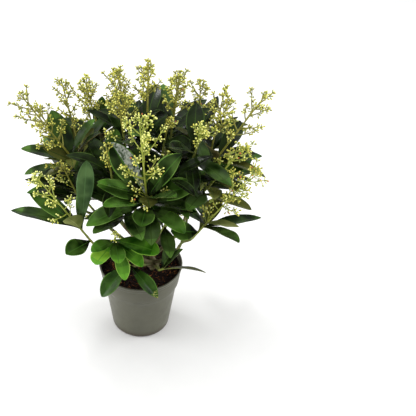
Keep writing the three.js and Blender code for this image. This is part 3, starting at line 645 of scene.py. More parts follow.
def main_stem():
    """The stem with its root flare: low buttresses that fade out upwards."""
    tall = STEM_END - STEM_BASE
    centres, radii = [], []
    for row in range(STEM_ROWS + 1):
        height = STEM_BASE - STEM_SUNK + (tall + STEM_SUNK) * row / STEM_ROWS
        above = height - STEM_BASE
        flare = math.exp(-above / (0.38 * STEM_FLARE_HEIGHT))
        slimming = (STEM_TOP_RADIUS - STEM_RADIUS) * (above / tall)
        centres.append(stem_centre(height))
        radii.append(STEM_RADIUS + slimming + (STEM_FLARE_RADIUS - STEM_RADIUS) * flare)
    points, faces = strand(centres, radii, STEM_SIDES)
    points = add_bark(points, centres, STEM_SIDES, STEM_BARK_DEPTH, STEM_SCAR_PITCH)
    for index, corner in enumerate(points):
        row, turn = divmod(index, STEM_SIDES)
        buttress = math.cos(BUTTRESSES * 2 * math.pi * turn / STEM_SIDES + 0.8)
        swell = 1 + BUTTRESS_DEPTH * math.exp(-row / 7) * buttress
        points[index] = centres[row] + (corner - centres[row]) * swell
        if row == 0:
            points[index].z = STEM_BASE - STEM_SUNK
    return points, faces


def bough_centres(branch):
    foot = stem_centre(branch["leaves"])
    tip = branch["tip"]
    outward = tip - foot
    outward.z = 0
    start = ((tip - foot).normalized() + outward.normalized() * BOUGH_SPLAY).normalized()
    return curve_points(foot, start, tip, branch["heading"], BOUGH_ROWS)


def tapering(foot, tip, steps):
    """The radii of a limb that slims evenly over a number of steps."""
    return [foot + (tip - foot) * step / steps for step in range(steps + 1)]


def bark_finish(name, dark, light, green):
    """Thin bark: streaks of two browns, with green showing through in patches."""
    finish, tree, shader = new_finish(name, 0.7, 0.35)
    streaks = add_noise(tree, 2.2, detail=6, grain=0.7)
    patches = add_noise(tree, 11, detail=3)
    brown = add_ramp(tree, streaks, (0.35, from_screen(*dark)), (0.68, from_screen(*light)))
    share = add_ramp(tree, patches, (0.42, (0, 0, 0, 1)), (0.62, (1, 1, 1, 1)))
    colour = add_blend(tree, share, brown, from_screen(*green))
    tree.links.new(colour, shader.inputs["Base Color"])
    add_relief(tree, shader, streaks, 0.25)
    return finish


bark_finishes = [
    bark_finish("old_bark", (62, 50, 34), (112, 96, 68), (84, 88, 50)),
    bark_finish("young_bark", (84, 84, 44), (128, 128, 70), (92, 110, 50)),
]
wood_heap = Heap()
wood_heap.add(*main_stem(), 0)
for branch in BRANCHES.values():
    centres = bough_centres(branch)
    radii = tapering(BOUGH_FOOT_RADIUS, BOUGH_TIP_RADIUS, BOUGH_ROWS)
    points, faces = strand(centres, radii, BOUGH_SIDES)
    points = add_bark(points, centres, BOUGH_SIDES, BARK_DEPTH, SCAR_PITCH)
    young_from = 0.55 * BOUGH_ROWS * BOUGH_SIDES
    wood_heap.add(points, faces, [int(min(face) > young_from) for face in faces])
wood = wood_heap.make("stem_and_boughs", bark_finishes)
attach(wood, "root")
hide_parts("main_stem", *["bough_" + name for name in BRANCHES])

# ---- Shoots ----
# The green twigs of each mass: the first grows on from its bough's tip and the others fork off
# it. They are smooth and yellow-green, with a swelling under each leaf.

TWIG_RADIUS = 2.0
SHOOT_TIP_RADIUS = 1.5
SHOOT_SWELLING = 0.25
FORK_LENGTH = 7
CURVED_ROWS = 16
LEAFY_ROWS = 8


def shoot_centres(branch, shoot):
    heading = branch["heading"]
    fork = 0 if shoot is branch["shoots"][0] else FORK_LENGTH
    start = branch["tip"] + heading * (CLEARANCE + fork)
    knee = shoot["knee"]
    centres = curve_points(start, heading, knee, shoot["heading"], CURVED_ROWS)
    for step in range(1, LEAFY_ROWS + 1):
        centres.append(knee.lerp(shoot["end"], step / LEAFY_ROWS))
    return centres


shoot_finishes = [
    bark_finish("green_shoot", (78, 80, 36), (112, 112, 54), (92, 104, 44)),
    bark_finish("fresh_shoot", (108, 116, 46), (140, 144, 66), (120, 134, 54)),
]
shoot_heap = Heap()
for name, shoot in SHOOTS:
    radii = tapering(TWIG_RADIUS, SHOOT_TIP_RADIUS, CURVED_ROWS + LEAFY_ROWS)
    radii = [radius + SHOOT_SWELLING * (row % 3 == 1) for row, radius in enumerate(radii)]
    points, faces = strand(shoot_centres(BRANCHES[name], shoot), radii, 9)
    fresh_from = 0.6 * len(points)
    shoot_heap.add(points, faces, [int(min(face) > fresh_from) for face in faces])
masses = ["foliage_" + name for name in BRANCHES]
shoots = shoot_heap.make("green_shoots", shoot_finishes)
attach(shoots, "root")
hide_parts(*masses)

# ---- Leaves ----
# Thick evergreen leaves, glossy above and dull olive below, in a spiral round the last stretch of
# each shoot. Each is a thin closed blade with a channelled midrib and a slightly wavy margin.

GOLDEN_ANGLE = 137.5
LEAF_TURN_DRAW = 24
LEAF_OPENING = 50
LEAF_OPENING_DRAW = 16
LEAF_DROOP = 30
LEAF_FACING_UP = 0.8
FIRST_LEAF_BELOW = 3
LEAFLESS_ENDS = 5
LEAF_LENGTH = 46
LEAF_MIDDLE_LENGTH = 22
LEAF_LENGTH_DRAW = 12
LEAF_SLENDERNESS = 0.31
LEAF_LIFT = 0.3
LEAF_BEND = 14
LEAF_BEND_DRAW = 26
ATTEMPTS = 15
ATTEMPT_TURN = 11
ATTEMPTS_OPENED = 4
OPENED_BY = 12
ATTEMPTS_SHORTENED = 8
SHORTENED_TO = 0.78
SAME_PLACE = 0.6
PETIOLE_HALF_WIDTH = 1.1
LEAF_FULLNESS = 1.12
LEAF_SLIMMING = 0.25
LEAF_SWAY = 0.5
LEAF_DRAWS = 24
LEAF_ROWS = 15
LEAF_ACROSS = np.array((-1, -0.89, -0.5, -0.055, 0.055, 0.5, 0.89, 1.0))
BLADE_STAGES = (0.14, 0.3, 0.5, 0.72)
BLADE_FOOT = 1.25
BLADE_SWEEP = 0.03
BLADE_TWIST = 14
MARGIN_WAVE = 0.045
CHANNEL_DEPTH = 0.35
CHANNEL_WIDTH = 0.16
VEINS = 5.5
VEIN_RAKE = 0.9
VEIN_HEIGHT = 0.5
RIB_WIDTH = 0.2
RIB_HEIGHT = 0.75
MARGIN_THICKNESS = 0.28
BLADE_THICKENING = 0.3

# The leaves of each mass that stand out from the regular ones. A row gives the number of the shoot,
# the distance from the shoot's end to the leaf's root, the bearing and the slope above level from
# root to tip, the roll of the blade about its midrib, its length and its width, how far it curves
# back along its length, and its tint.
FEATURE_LEAVES = {
    "lower_left": [
        (0, 30, -144, -6, 0, 42, 29, 10, "green"),
        (0, 2, 173, 13, 0, 100, 27, 20, "dark"),
        (0, 2, -127, 52, 40, 46, 24, 12, "green"),
        (0, 6, 12, 82, 78, 113, 25, 4, "cool"),
        (0, 4, 166, 31, -28, 88, 22, 14, "green"),
    ],
    "low_back_left": [(0, 6, 176, -2, 0, 80, 26, 15, "green")],
    "upper_left": [
        (0, 16, 139, 54, -24, 82, 28, 10, "dark"),
        (0, 12, -158, 36, -28, 54, 19, 10, "olive"),
        (0, 12, -172, 22, 0, 78, 25, 20, "dark"),
        (1, 8, 30, 62, 0, 46, 22, 26, "olive"),
    ],
    "left_back": [(0, 10, 88, 53, 0, 63, 22, 8, "dark")],
    "front": [
        # Half of this leaf's blade carries a painted sheen in place of a reflection.
        (0, 4, 156, 51, -35, 87, 31, 10, "half_sheened"),
        (0, 10, -166, 24, -25, 74, 27, 24, "green"),
        (0, 12, -15, 24, 25, 78, 31, 24, "green"),
        (0, 3, -84, 12, 0, 38, 23, 10, "olive"),
        (0, 20, -104, -14, 0, 38, 28, 24, "green"),
        (0, 16, -163, -13, 0, 89, 30, 18, "green"),
        (0, 26, -84, -30, 0, 54, 24, 24, "dark"),
        # A dark leaf whose light margin is a painted highlight along its edge.
        (0, 8, -7, 57, 35, 86, 30, 10, "glint_edged"),
    ],
    "centre_left": [(0, 8, 179, -15, 0, 60, 24, 18, "dark")],
    "lower_right": [
        (0, 2, -20, 8, -65, 47, 18, 10, "green"),
        (0, 12, 14, 0, 0, 88, 20, 20, "dark"),
        (0, 24, -168, 8, -25, 40, 28, 16, "green"),
        (0, 6, 165, 36, 0, 50, 22, 16, "green"),
    ],
    "low_back_right": [(0, 4, 0, 14, 0, 76, 22, 20, "dark")],
    "right": [(1, 8, 2, 6, 0, 66, 22, 15, "dark")],
    "young_front": [
        (0, 3, -14, -9, 0, 64, 34, 18, "young"),
        (0, 10, -38, -20, 0, 53, 20, 20, "young"),
        (0, 14, -70, -35, 0, 54, 18, 20, "young"),
        (0, 6, -80, -15, 0, 38, 20, 15, "fresh"),
        (0, 10, -130, -18, 0, 43, 28, 15, "golden"),
        (0, 3, -148, -6, 0, 38, 21, 15, "fresh"),
    ],
    "low_front": [
        (0, 4, -140, -31, 0, 62, 25, 18, "low"),
        (0, 3, -40, -32, 0, 64, 24, 18, "spotted"),
    ],
    "low_right": [
        (0, 2, -5, 3, -30, 66, 13, 30, "olive"),
        (0, 4, -28, 58, 25, 60, 17, 10, "dark"),
        (0, 8, 20, 73, 0, 56, 16, 10, "dark"),
    ],
    # These deep leaves sit in hollows of the crown; their near-black green is painted shade.
    "top": [(1, 10, -25, 46, 50, 44, 30, 10, "deep")],
    "top_right": [(1, 6, -40, 1, 30, 44, 32, 10, "deep")],
    "inner_right": [(1, 6, 134, 17, -20, 58, 24, 14, "deep")],
}


def draws(seed):
    """Draws between 0 and 1 that start again from their own seed for each leaf and spray."""
    multiplier = 16807
    modulus = 2147483647
    state = (seed * 7919 + 104729) % modulus
    number = 0
    while True:
        state = (state * multiplier) % modulus
        number += 1
        if number > 2:
            yield state / modulus


def spiral_leaf(shoot, index, attempt, seed):
    """A leaf of the regular spiral: the lower it sits, the wider it stands out from its shoot."""
    heading = shoot["heading"]
    draw = draws(seed)
    low = index / shoot["leaves"]
    aside = (1 if attempt % 2 == 0 else -1) * ATTEMPT_TURN * math.ceil(attempt / 2)
    turn = shoot["turn"] + index * GOLDEN_ANGLE + LEAF_TURN_DRAW * (next(draw) - 0.5) + aside
    opened = OPENED_BY if attempt > ATTEMPTS_OPENED else 0
    opening = LEAF_OPENING + LEAF_DROOP * low + LEAF_OPENING_DRAW * (next(draw) - 0.5) + opened
    middle = math.sin(math.pi * (0.25 + 0.6 * low))
    length = LEAF_LENGTH + LEAF_MIDDLE_LENGTH * middle + LEAF_LENGTH_DRAW * next(draw)
    length *= SHORTENED_TO if attempt > ATTEMPTS_SHORTENED else 1
    blade = turned(heading, square(heading, turn), math.radians(opening))
    blade += UP * LEAF_LIFT * (1 - blade.z)
    blade.normalize()
    upper = heading + UP * LEAF_FACING_UP
    upper -= blade * upper.dot(blade)
    below = FIRST_LEAF_BELOW + (shoot["leafy"] - LEAFLESS_ENDS) * low**1.3
    return dict(
        root=shoot["end"] - heading * below,
        heading=blade,
        upper=upper.normalized(),
        length=length,
        width=length * (LEAF_SLENDERNESS + 0.05 * (next(draw) - 0.5)),
        bend=LEAF_BEND + LEAF_BEND_DRAW * next(draw),
    )


def feature_leaf(shoot, below, bearing, rise, roll, length, width, bend):
    root = shoot["end"] - shoot["heading"] * below
    blade = leaning(90 - rise - bend / 2, bearing)
    upper = (UP - blade * blade.z).normalized()
    upper = turned(upper, blade.cross(upper), math.radians(roll))
    return dict(root=root, heading=blade, upper=upper, length=length, width=width, bend=bend)


def leaf_tip(leaf):
    bend = math.radians(leaf["bend"])
    ahead = leaf["heading"] * (leaf["length"] * math.sin(bend) / bend)
    back = leaf["upper"] * (leaf["length"] * (math.cos(bend) - 1) / bend)
    return leaf["root"] + ahead + back


mass_points = {
    name: np.array([corner.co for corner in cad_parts["foliage_" + name].data.vertices]) / MM
    for name in BRANCHES
}


def stands(name, place):
    """Whether the mass's solid has a corner there, so that this leaf or twig was grown."""
    return np.linalg.norm(mass_points[name] - np.array(place), axis=1).min() < SAME_PLACE


def blade_shape(share, base, point_power):
    """Half the blade's width at a share of its length, as a share of the greatest."""
    widest = base / (base + point_power)
    taper = np.clip(1 - share, 0, 1) / (1 - widest)
    return (share / widest) ** base * taper**point_power


def leaf_faces():
    """The faces of every leaf: the upper side, the underside, the root's end and the tip."""
    across = len(LEAF_ACROSS)
    under = LEAF_ROWS * across
    inner = across - 2
    last = LEAF_ROWS - 1
    tip = under + LEAF_ROWS * inner

    def above(row, column):
        return row * across + column

    def below(row, column):
        edge = column in (0, across - 1)
        return above(row, column) if edge else under + row * inner + column - 1

    faces, parts = [], []
    part_of = ("margin", "waxed_blade", "waxed_blade", "midrib", "blade", "blade", "margin")
    stages = [sum(row > share * LEAF_ROWS for share in BLADE_STAGES) for row in range(LEAF_ROWS)]
    for column, part in enumerate(part_of):
        for row in range(last):
            around = ((row, column), (row + 1, column), (row + 1, column + 1), (row, column + 1))
            faces.append(tuple(above(*corner) for corner in around))
            faces.append(tuple(below(*around[number]) for number in (0, 3, 2, 1)))
            parts += [(part, stages[row]), ("under_rib" if part == "midrib" else "under", 0)]
        faces.append((above(last, column), tip, above(last, column + 1)))
        faces.append((below(last, column), below(last, column + 1), tip))
        parts += [(part, stages[last]), ("under", 0)]
    root_ring = [above(0, column) for column in range(across)]
    root_ring += [below(0, column) for column in range(across - 2, 0, -1)]
    return faces + [tuple(root_ring)], parts + [("under", 0)]


LEAF_FACES, LEAF_PARTS = leaf_faces()


def leaf_points(leaf, pointed, foot, fullness, rng, ease):
    """The blade's corners. It arches back evenly, twists a little and waves along its margin.

    Ease, from 0 to 1, takes the twist out of it and slims it, where others crowd it.
    """
    root, heading, upper = (np.array(leaf[key]) for key in ("root", "heading", "upper"))
    side = np.cross(upper, heading)
    length = leaf["length"]
    bend = math.radians(leaf["bend"])
    rows = np.arange(LEAF_ROWS) / LEAF_ROWS
    share = 1 - (1 - rows) ** 1.35
    swing = (bend * share)[:, None]
    centre = root + heading * length * np.sin(swing) / bend
    centre = centre + upper * length * (np.cos(swing) - 1) / bend
    lift = heading * np.sin(swing) + upper * np.cos(swing)
    sweep = rng.uniform(-BLADE_SWEEP, BLADE_SWEEP) * length * (1 - ease)
    centre = centre + side * (sweep * share * (1 - share) * 4)[:, None]
    twist = math.radians(rng.uniform(-BLADE_TWIST, BLADE_TWIST)) * (1 - ease)
    twist = (twist * share)[:, None]
    across = side * np.cos(twist) + lift * np.sin(twist)
    normal = lift * np.cos(twist) - side * np.sin(twist)
    shape = blade_shape(share, foot, pointed * rng.uniform(0.86, 1.14))
    full = leaf["width"] * fullness * (1 - LEAF_SLIMMING * ease) / 2
    half = np.maximum(PETIOLE_HALF_WIDTH, shape * full)[:, None]
    fold = rng.uniform(0.12, 0.28)
    phase = rng.uniform(0, 2 * math.pi)
    waves = rng.uniform(1.5, 2.6)
    wave = MARGIN_WAVE * (1 - ease) * half * np.sin(2 * math.pi * waves * share + phase)[:, None]
    u = LEAF_ACROSS[None, :]
    channel = CHANNEL_DEPTH * np.exp(-((u / CHANNEL_WIDTH) ** 2))
    veins = np.cos(2 * math.pi * (VEINS * share[:, None] - VEIN_RAKE * np.abs(u)))
    profile = half * fold * np.abs(u) ** 1.4 - channel + wave * u**2 * np.sign(u)
    profile = profile + VEIN_HEIGHT * veins * np.abs(u) * (1 - u**2)
    top = centre[:, None] + across[:, None] * (half * u)[..., None]
    top = top + normal[:, None] * profile[..., None]
    rib = RIB_HEIGHT * (1 - share)[:, None] * np.exp(-((u / RIB_WIDTH) ** 2))
    thick = MARGIN_THICKNESS + BLADE_THICKENING * (1 - u**2) + rib
    under = (top - normal[:, None] * thick[..., None])[:, 1:-1]
    tip = np.array(leaf_tip(leaf))
    return np.concatenate((top.reshape(-1, 3), under.reshape(-1, 3), tip[None]))


# The two colours of each green, of the midribs and of the margins. The deep green, nearly black,
# is painted shade: it goes on leaves inside, behind and on top of the crown and on the foot of
# blades.
LEAF_GREENS = {
    "deep": ((8, 14, 4), (32, 48, 17)),
    "dark": ((15, 31, 6), (66, 92, 41)),
    "green": ((21, 46, 6), (82, 118, 48)),
    "low": ((16, 40, 5), (54, 90, 21)),
    "mid": ((24, 56, 7), (80, 122, 42)),
    "fresh": ((28, 68, 9), (86, 136, 44)),
    "young": ((38, 88, 12), (98, 154, 46)),
    "bright": ((64, 124, 24), (106, 166, 50)),
    "golden": ((84, 136, 28), (140, 186, 60)),
    "olive": ((60, 64, 26), (90, 94, 44)),
    # The cool green is grey-green, lightened and greyed in part as a painted sheen.
    "cool": ((40, 66, 31), (86, 116, 66)),
}
RIB_TINTS = {
    "deep": ((36, 54, 20), (56, 78, 32)),
    "low": ((34, 66, 18), (58, 98, 34)),
    "green": ((52, 90, 28), (76, 116, 46)),
    "young": ((66, 118, 28), (96, 150, 50)),
    "cool": ((66, 98, 52), (92, 124, 74)),
}
# Margins are lighter than their blades, partly their own pale edge and partly a painted highlight.
MARGIN_AND_GLINT_TINTS = {
    "deep": ((44, 62, 24), (70, 92, 42)),
    "low": ((52, 88, 28), (88, 126, 52)),
    "green": ((84, 124, 44), (122, 158, 76)),
    "young": ((126, 176, 60), (170, 208, 98)),
    "cool": ((74, 106, 60), (104, 136, 88)),
}
# Each tint of leaf: the greens of five stretches of the blade from foot to end, the tint of its rib
# and margin, and how far it narrows at its end. The cool one also gives how far it narrows at its
# foot, and how much of its width it fills. The deeper green at the foot of most tints is painted
# shade, where the leaves crowd round their shoot.
LEAF_TINTS = {
    "deep": ("deep deep deep deep deep", "deep", 0.95),
    "dark": ("deep dark dark dark green", "deep", 0.9),
    "green": ("deep dark green green mid", "green", 0.9),
    "fresh": ("dark green mid fresh young", "green", 0.8),
    "young": ("mid fresh fresh young bright", "young", 0.72),
    "golden": ("young bright golden golden bright", "young", 0.62),
    "olive": ("olive olive olive olive olive", "deep", 0.95),
    "cool": ("dark cool cool cool cool", "cool", 0.66, 1.7, 0.96),
    # A dark leaf with a painted sheen on one half of its blade.
    "half_sheened": ("deep dark dark dark dark", "green", 0.85),
    # A dark leaf with the green margin as a painted highlight along its edge.
    "glint_edged": ("deep dark dark dark dark", "green", 0.9),
    "low": ("deep low low low low", "low", 0.85),
    "spotted": ("deep low low low specked", "low", 0.85),
}
leaf_finishes = {}


def add_leaf_finish(key, tones, roughness, gloss, patch=24, stops=(0.36, 0.66), detail=1.5):
    """Leathery green: two greens in soft patches, fine grain and a waxy gloss."""
    finish, tree, shader, patches = two_tone(
        "leaf_" + key, *tones, roughness, gloss, patch, detail, stops
    )
    vary_roughness(tree, shader, patches, roughness - 0.05, roughness + 0.08)
    add_relief(tree, shader, add_noise(tree, 1.8, detail=3), 0.12)
    leaf_finishes[key] = finish


for green, tones in LEAF_GREENS.items():
    add_leaf_finish(green, tones, 0.24, 0.16 if green == "low" else 0.09)
for prefix, table in (("rib_", RIB_TINTS), ("margin_", MARGIN_AND_GLINT_TINTS)):
    for tint, tones in table.items():
        add_leaf_finish(prefix + tint, tones, 0.4, 0.06)
add_leaf_finish("under_olive", ((86, 96, 46), (122, 128, 70)), 0.62, 0.05)
add_leaf_finish("under_brown", ((84, 80, 46), (116, 108, 70)), 0.62, 0.05)
add_leaf_finish("under_rib", ((112, 120, 66), (140, 146, 90)), 0.6, 0.05)
# The first is a painted sheen: pale grey patches stand for the sky's reflection in a blade.
for key, tones, roughness, gloss, patch, stops in (
    ("painted_sheen", ((58, 78, 52), (188, 194, 184)), 0.35, 0.15, 3.5, (0.4, 0.6)),
    ("specked", ((40, 76, 18), (172, 168, 96)), 0.3, 0.09, 2.0, (0.5, 0.58)),
):
    add_leaf_finish(key, tones, roughness, gloss, patch, stops, detail=4)
finish_number = {key: number for number, key in enumerate(leaf_finishes)}
placed_leaves = []


def crossings(points):
    """How many faces of the leaves in place a new leaf would cut, and its tree and its box."""
    tree = BVHTree.FromPolygons([Vector(corner) for corner in points], LEAF_FACES)
    low, high = points.min(0), points.max(0)
    cut = 0
    for other, other_low, other_high in placed_leaves:
        if (low <= other_high).all() and (other_low <= high).all():
            cut += len(tree.overlap(other))
    return cut, (tree, low, high)


def clear_leaf(leaf, seed, pointed, foot=BLADE_FOOT, fullness=LEAF_FULLNESS):
    """Draws a leaf again, calmer each time, until it clears those in place, or the best of them."""
    best = None
    for attempt in range(LEAF_DRAWS):
        ease = attempt / (LEAF_DRAWS - 1)
        sway = random.Random(seed * 7 + attempt).uniform(-LEAF_SWAY, LEAF_SWAY) * ease
        rng = random.Random(seed + 100003 * attempt)
        swayed = dict(leaf, bend=leaf["bend"] * (1 + sway))
        points = leaf_points(swayed, pointed, foot, fullness, rng, ease)
        cut, shape = crossings(points)
        if best is None or cut < best[0]:
            best = (cut, points, shape)
        if cut == 0:
            break
    placed_leaves.append(best[2])
    return best[1]


def add_leaf(leaf, name, tint, seed):
    """One leaf: a painted sheen of pale grey patches, in place of the sky's reflection, covers half
    of the half-sheened one, and a spotted one is blotched at its end.
    """
    blade, rib, *outline = LEAF_TINTS[tint]
    dealt = []
    for part, stage in LEAF_PARTS:
        key = blade.split()[stage]
        if part == "under":
            key = "under_brown" if name in BROWN_BELOW else "under_olive"
        elif part == "under_rib":
            key = part
        elif part == "midrib":
            key = "rib_" + rib
        # Past the blade's foot the margin gets its lighter tint: a pale edge and a painted
        # highlight.
        elif part == "margin" and stage > 1:
            key = "margin_" + rib
        # One half of the sheened leaf gets the painted sheen.
        elif part == "waxed_blade" and tint == "half_sheened":
            key = "painted_sheen"
        dealt.append(finish_number[key])
    leaf_heap.add(clear_leaf(leaf, seed, *outline), LEAF_FACES, dealt)


# The greens of each mass, dealt out to its leaves in turn: fresh and bright on the low young
# shoots at the front, and darker the higher and the further back the mass is. That darkening is
# painted shade: the dark and deep greens stand for the shade in the crown and behind it.
MASS_TINTS = {
    "young_front": "young fresh young fresh golden fresh",
    "low_front": "green fresh",
    "low_right": "olive green",
    "lower_left": "green dark green fresh",
    "lower_right": "green dark olive",
    "centre_left": "green dark dark",
    "centre_right": "dark green dark",
    "front": "dark green dark",
    "inner_left": "dark deep dark",
    "right": "dark olive deep",
    "upper_left": "dark olive deep",
    "inner_right": "deep deep dark deep",
    "top": "deep deep dark",
    "top_right": "deep deep dark",
}
OTHER_TINTS = "deep deep olive deep dark"
BROWN_BELOW = ("upper_left", "left_back", "inner_left", "right", "top")

leaf_heap = Heap()
next_tints = {
    name: itertools.cycle(MASS_TINTS.get(name, OTHER_TINTS).split()) for name in BRANCHES
}
for name, rows in FEATURE_LEAVES.items():
    for number, *shape, tint in rows:
        leaf = feature_leaf(BRANCHES[name]["shoots"][number], *shape)
        if stands(name, leaf_tip(leaf)):
            add_leaf(leaf, name, tint, leaf["length"] * 31)
for name, shoot in SHOOTS:
    for index in range(shoot["leaves"]):
        seed = shoot["order"] * 40 + index
        for attempt in range(ATTEMPTS):
            leaf = spiral_leaf(shoot, index, attempt, seed)
            if stands(name, leaf_tip(leaf)):
                add_leaf(leaf, name, next(next_tints[name]), seed)
                break
leaves = leaf_heap.make("leaves", leaf_finishes.values())
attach(leaves, "root")
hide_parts(*masses)

# ---- Flower sprays ----
# Each flower spray is a stout yellow-green stalk with side twigs in a spiral, and each of those
# carries short pedicels. The twigs of the solids are repeated and finer ones grow between them.

SPRAY_TWIG_PITCH = 14
SPRAY_TWIG_SLOPE = 26
SPRAY_TWIG_CLIMB = 26
SPRAY_SLOPE_DRAW = 12
SPRAY_TURN_DRAW = 30
SPRAY_TOP = 12
SPRAY_HEADROOM = 4
STALK_FOOT_RADIUS = 1.5
STALK_TIP_RADIUS = 0.8
SPRAY_TWIG_FOOT_RADIUS = 0.9
SPRAY_TWIG_TIP_RADIUS = 0.5
PEDICEL_RADIUS = 0.36
TWIG_SAG = 0.07
CLUSTER_REACH = 4.4
FINE_FROM_LENGTH = 20
BUD_LENGTH = 3.6
BUD_ROOM = 1.9

# How full a spray is. fine: the share of its twigs that have a finer one beside them. crown: the
# small twigs round its top. stalk, stout, thin: how stout its stalk, its twigs and the buds' own
# stalks are. bare: the share of a twig that has no buds. pitch: the way from one cluster on it to
# the next. pedicel: how long a bud's own stalk is. ring: the buds round the one on a cluster's
# end. bud: the size of a bud.
FULLNESS_WORDS = (
    "fine", "crown", "stalk", "stout", "thin", "bare", "pitch", "pedicel", "ring", "bud",
)
FULL_SPRAY = dict(zip(FULLNESS_WORDS, (0.35, 2, 1.0, 1.0, 0.85, 0.48, 5.0, 3.6, 3, 0.91)))
LOOSE_SPRAY = dict(zip(FULLNESS_WORDS, (0.35, 2, 0.85, 0.95, 1.0, 0.45, 5.2, 3.4, 3, 0.95)))
AIRY_SPRAY = dict(zip(FULLNESS_WORDS, (0.0, 2, 0.85, 0.95, 1.0, 0.5, 5.8, 3.4, 3, 0.93)))
OPEN_SPRAY = dict(zip(FULLNESS_WORDS, (0.55, 2, 1.0, 1.2, 1.35, 0.5, 5.0, 2.6, 3, 0.88)))
SPARSE_SPRAY = dict(zip(FULLNESS_WORDS, (0.0, 0, 1.0, 0.9, 1.1, 0.6, 6.5, 2.8, 2, 0.85)))
SMALL_SPRAY = dict(zip(FULLNESS_WORDS, (0.0, 0, 1.0, 0.6, 1.0, 0.5, 4.4, 2.8, 3, 1.0)))

# Sprays of one twig, from the leaf axils. Each row names the branch and the number of the shoot,
# and gives the distance from the shoot's end, the twig's bearing, slope above level and length.
SMALL_SPRAYS = [
    ("front", 0, 3, -173, 44, 32),
    ("front", 0, 3, 171, 62, 27),
    ("front", 0, 6, -153, 44, 30),
    ("front", 0, 4, -15, 28, 33),
    ("front", 0, 4, -43, 29, 29),
    ("front", 0, 10, -127, 21, 37),
    ("front", 0, 12, -90, 21, 35),
    ("centre_right", 0, 4, -39, 55, 33),
    ("centre_right", 0, 4, -6, 50, 42),
    ("lower_right", 0, 4, 144, 76, 28),
    ("lower_right", 0, 4, 43, 72, 26),
    ("inner_right", 1, 4, -40, 3, 40),
    ("inner_left", 0, 4, -168, 71, 27),
    ("top", 2, 8, -153, 34, 35),
    ("upper_left", 1, 2, 70, 70, 49),
    ("upper_left", 0, 16, -161, 9, 44),
    ("lower_left", 0, 3, 53, 70, 33),
    ("inner_left", 1, 3, 171, 40, 28),
]


def spray_twig(shoot, height, outward, slope, length):
    """A side twig that stands out from a spray's stalk at a height above the stalk's foot."""
    root = shoot["end"] + shoot["heading"] * height
    return root, turned(outward, shoot["heading"], slope), length


def spray_twigs(shoot):
    """The side twigs of a spray stand out in a spiral and get shorter towards its top."""
    length = shoot["spray"]
    count = math.floor(2.5 + length / SPRAY_TWIG_PITCH + 0.5)
    draw = draws(shoot["order"])
    twigs = []
    for index in range(count):
        share = (index + 0.5 * next(draw)) / count
        slope = SPRAY_TWIG_SLOPE + SPRAY_TWIG_CLIMB * share + SPRAY_SLOPE_DRAW * next(draw)
        slope = math.radians(slope)
        reach = shoot["spread"] * (1.05 - 0.5 * share) * (0.7 + 0.45 * next(draw))
        turn = shoot["turn"] + index * GOLDEN_ANGLE + SPRAY_TURN_DRAW * next(draw)
        height = shoot["bare"] + share * (length - shoot["bare"] - SPRAY_TOP)
        headroom = length + SPRAY_HEADROOM - height
        next(draw)
        span = min(reach / math.cos(slope), headroom / math.sin(slope))
        twigs.append(spray_twig(shoot, height, square(shoot["heading"], turn), slope, span))
    return twigs


def fine_twigs(shoot, twigs, fullness, rng):
    """Shorter twigs between the main ones, and small ones up to the stalk's very end."""
    heading = shoot["heading"]
    fine = []
    for number, (root, _, span) in enumerate(twigs):
        height = (root - shoot["end"]).dot(heading) + rng.uniform(3, 8)
        if height > shoot["spray"] - 5 or rng.random() > fullness["fine"]:
            continue
        turn = shoot["turn"] + number * GOLDEN_ANGLE + rng.uniform(150, 210)
        slope = math.radians(rng.uniform(28, 52))
        headroom = (shoot["spray"] + 2 - height) / math.sin(slope)
        span = min(span * rng.uniform(0.55, 0.85), headroom)
        fine.append(spray_twig(shoot, height, square(heading, turn), slope, span))
    for number in range(fullness["crown"]):
        turn = number * 360 / fullness["crown"] + rng.uniform(-20, 20)
        outward = square(heading, shoot["turn"] + turn)
        direction = (outward * 0.75 + heading * rng.uniform(0.5, 0.9)).normalized()
        root = shoot["end"] + heading * (shoot["spray"] - rng.uniform(6, 12))
        fine.append((root, direction, rng.uniform(7, 10)))
    return fine


leaf_tree = BVHTree.FromPolygons(
    [Vector(corner) for corner in np.concatenate(leaf_heap.points)], leaf_heap.faces
)


def meets_leaf(foot, tip, direction):
    """Whether a bud's own stalk would cut a leaf, or the bud on it would sit in one."""
    way = tip - foot
    if leaf_tree.ray_cast(foot, way.normalized(), way.length)[0] is not None:
        return True
    middle = tip + direction * (BUD_LENGTH / 2)
    return leaf_tree.find_nearest(middle, BUD_ROOM)[0] is not None


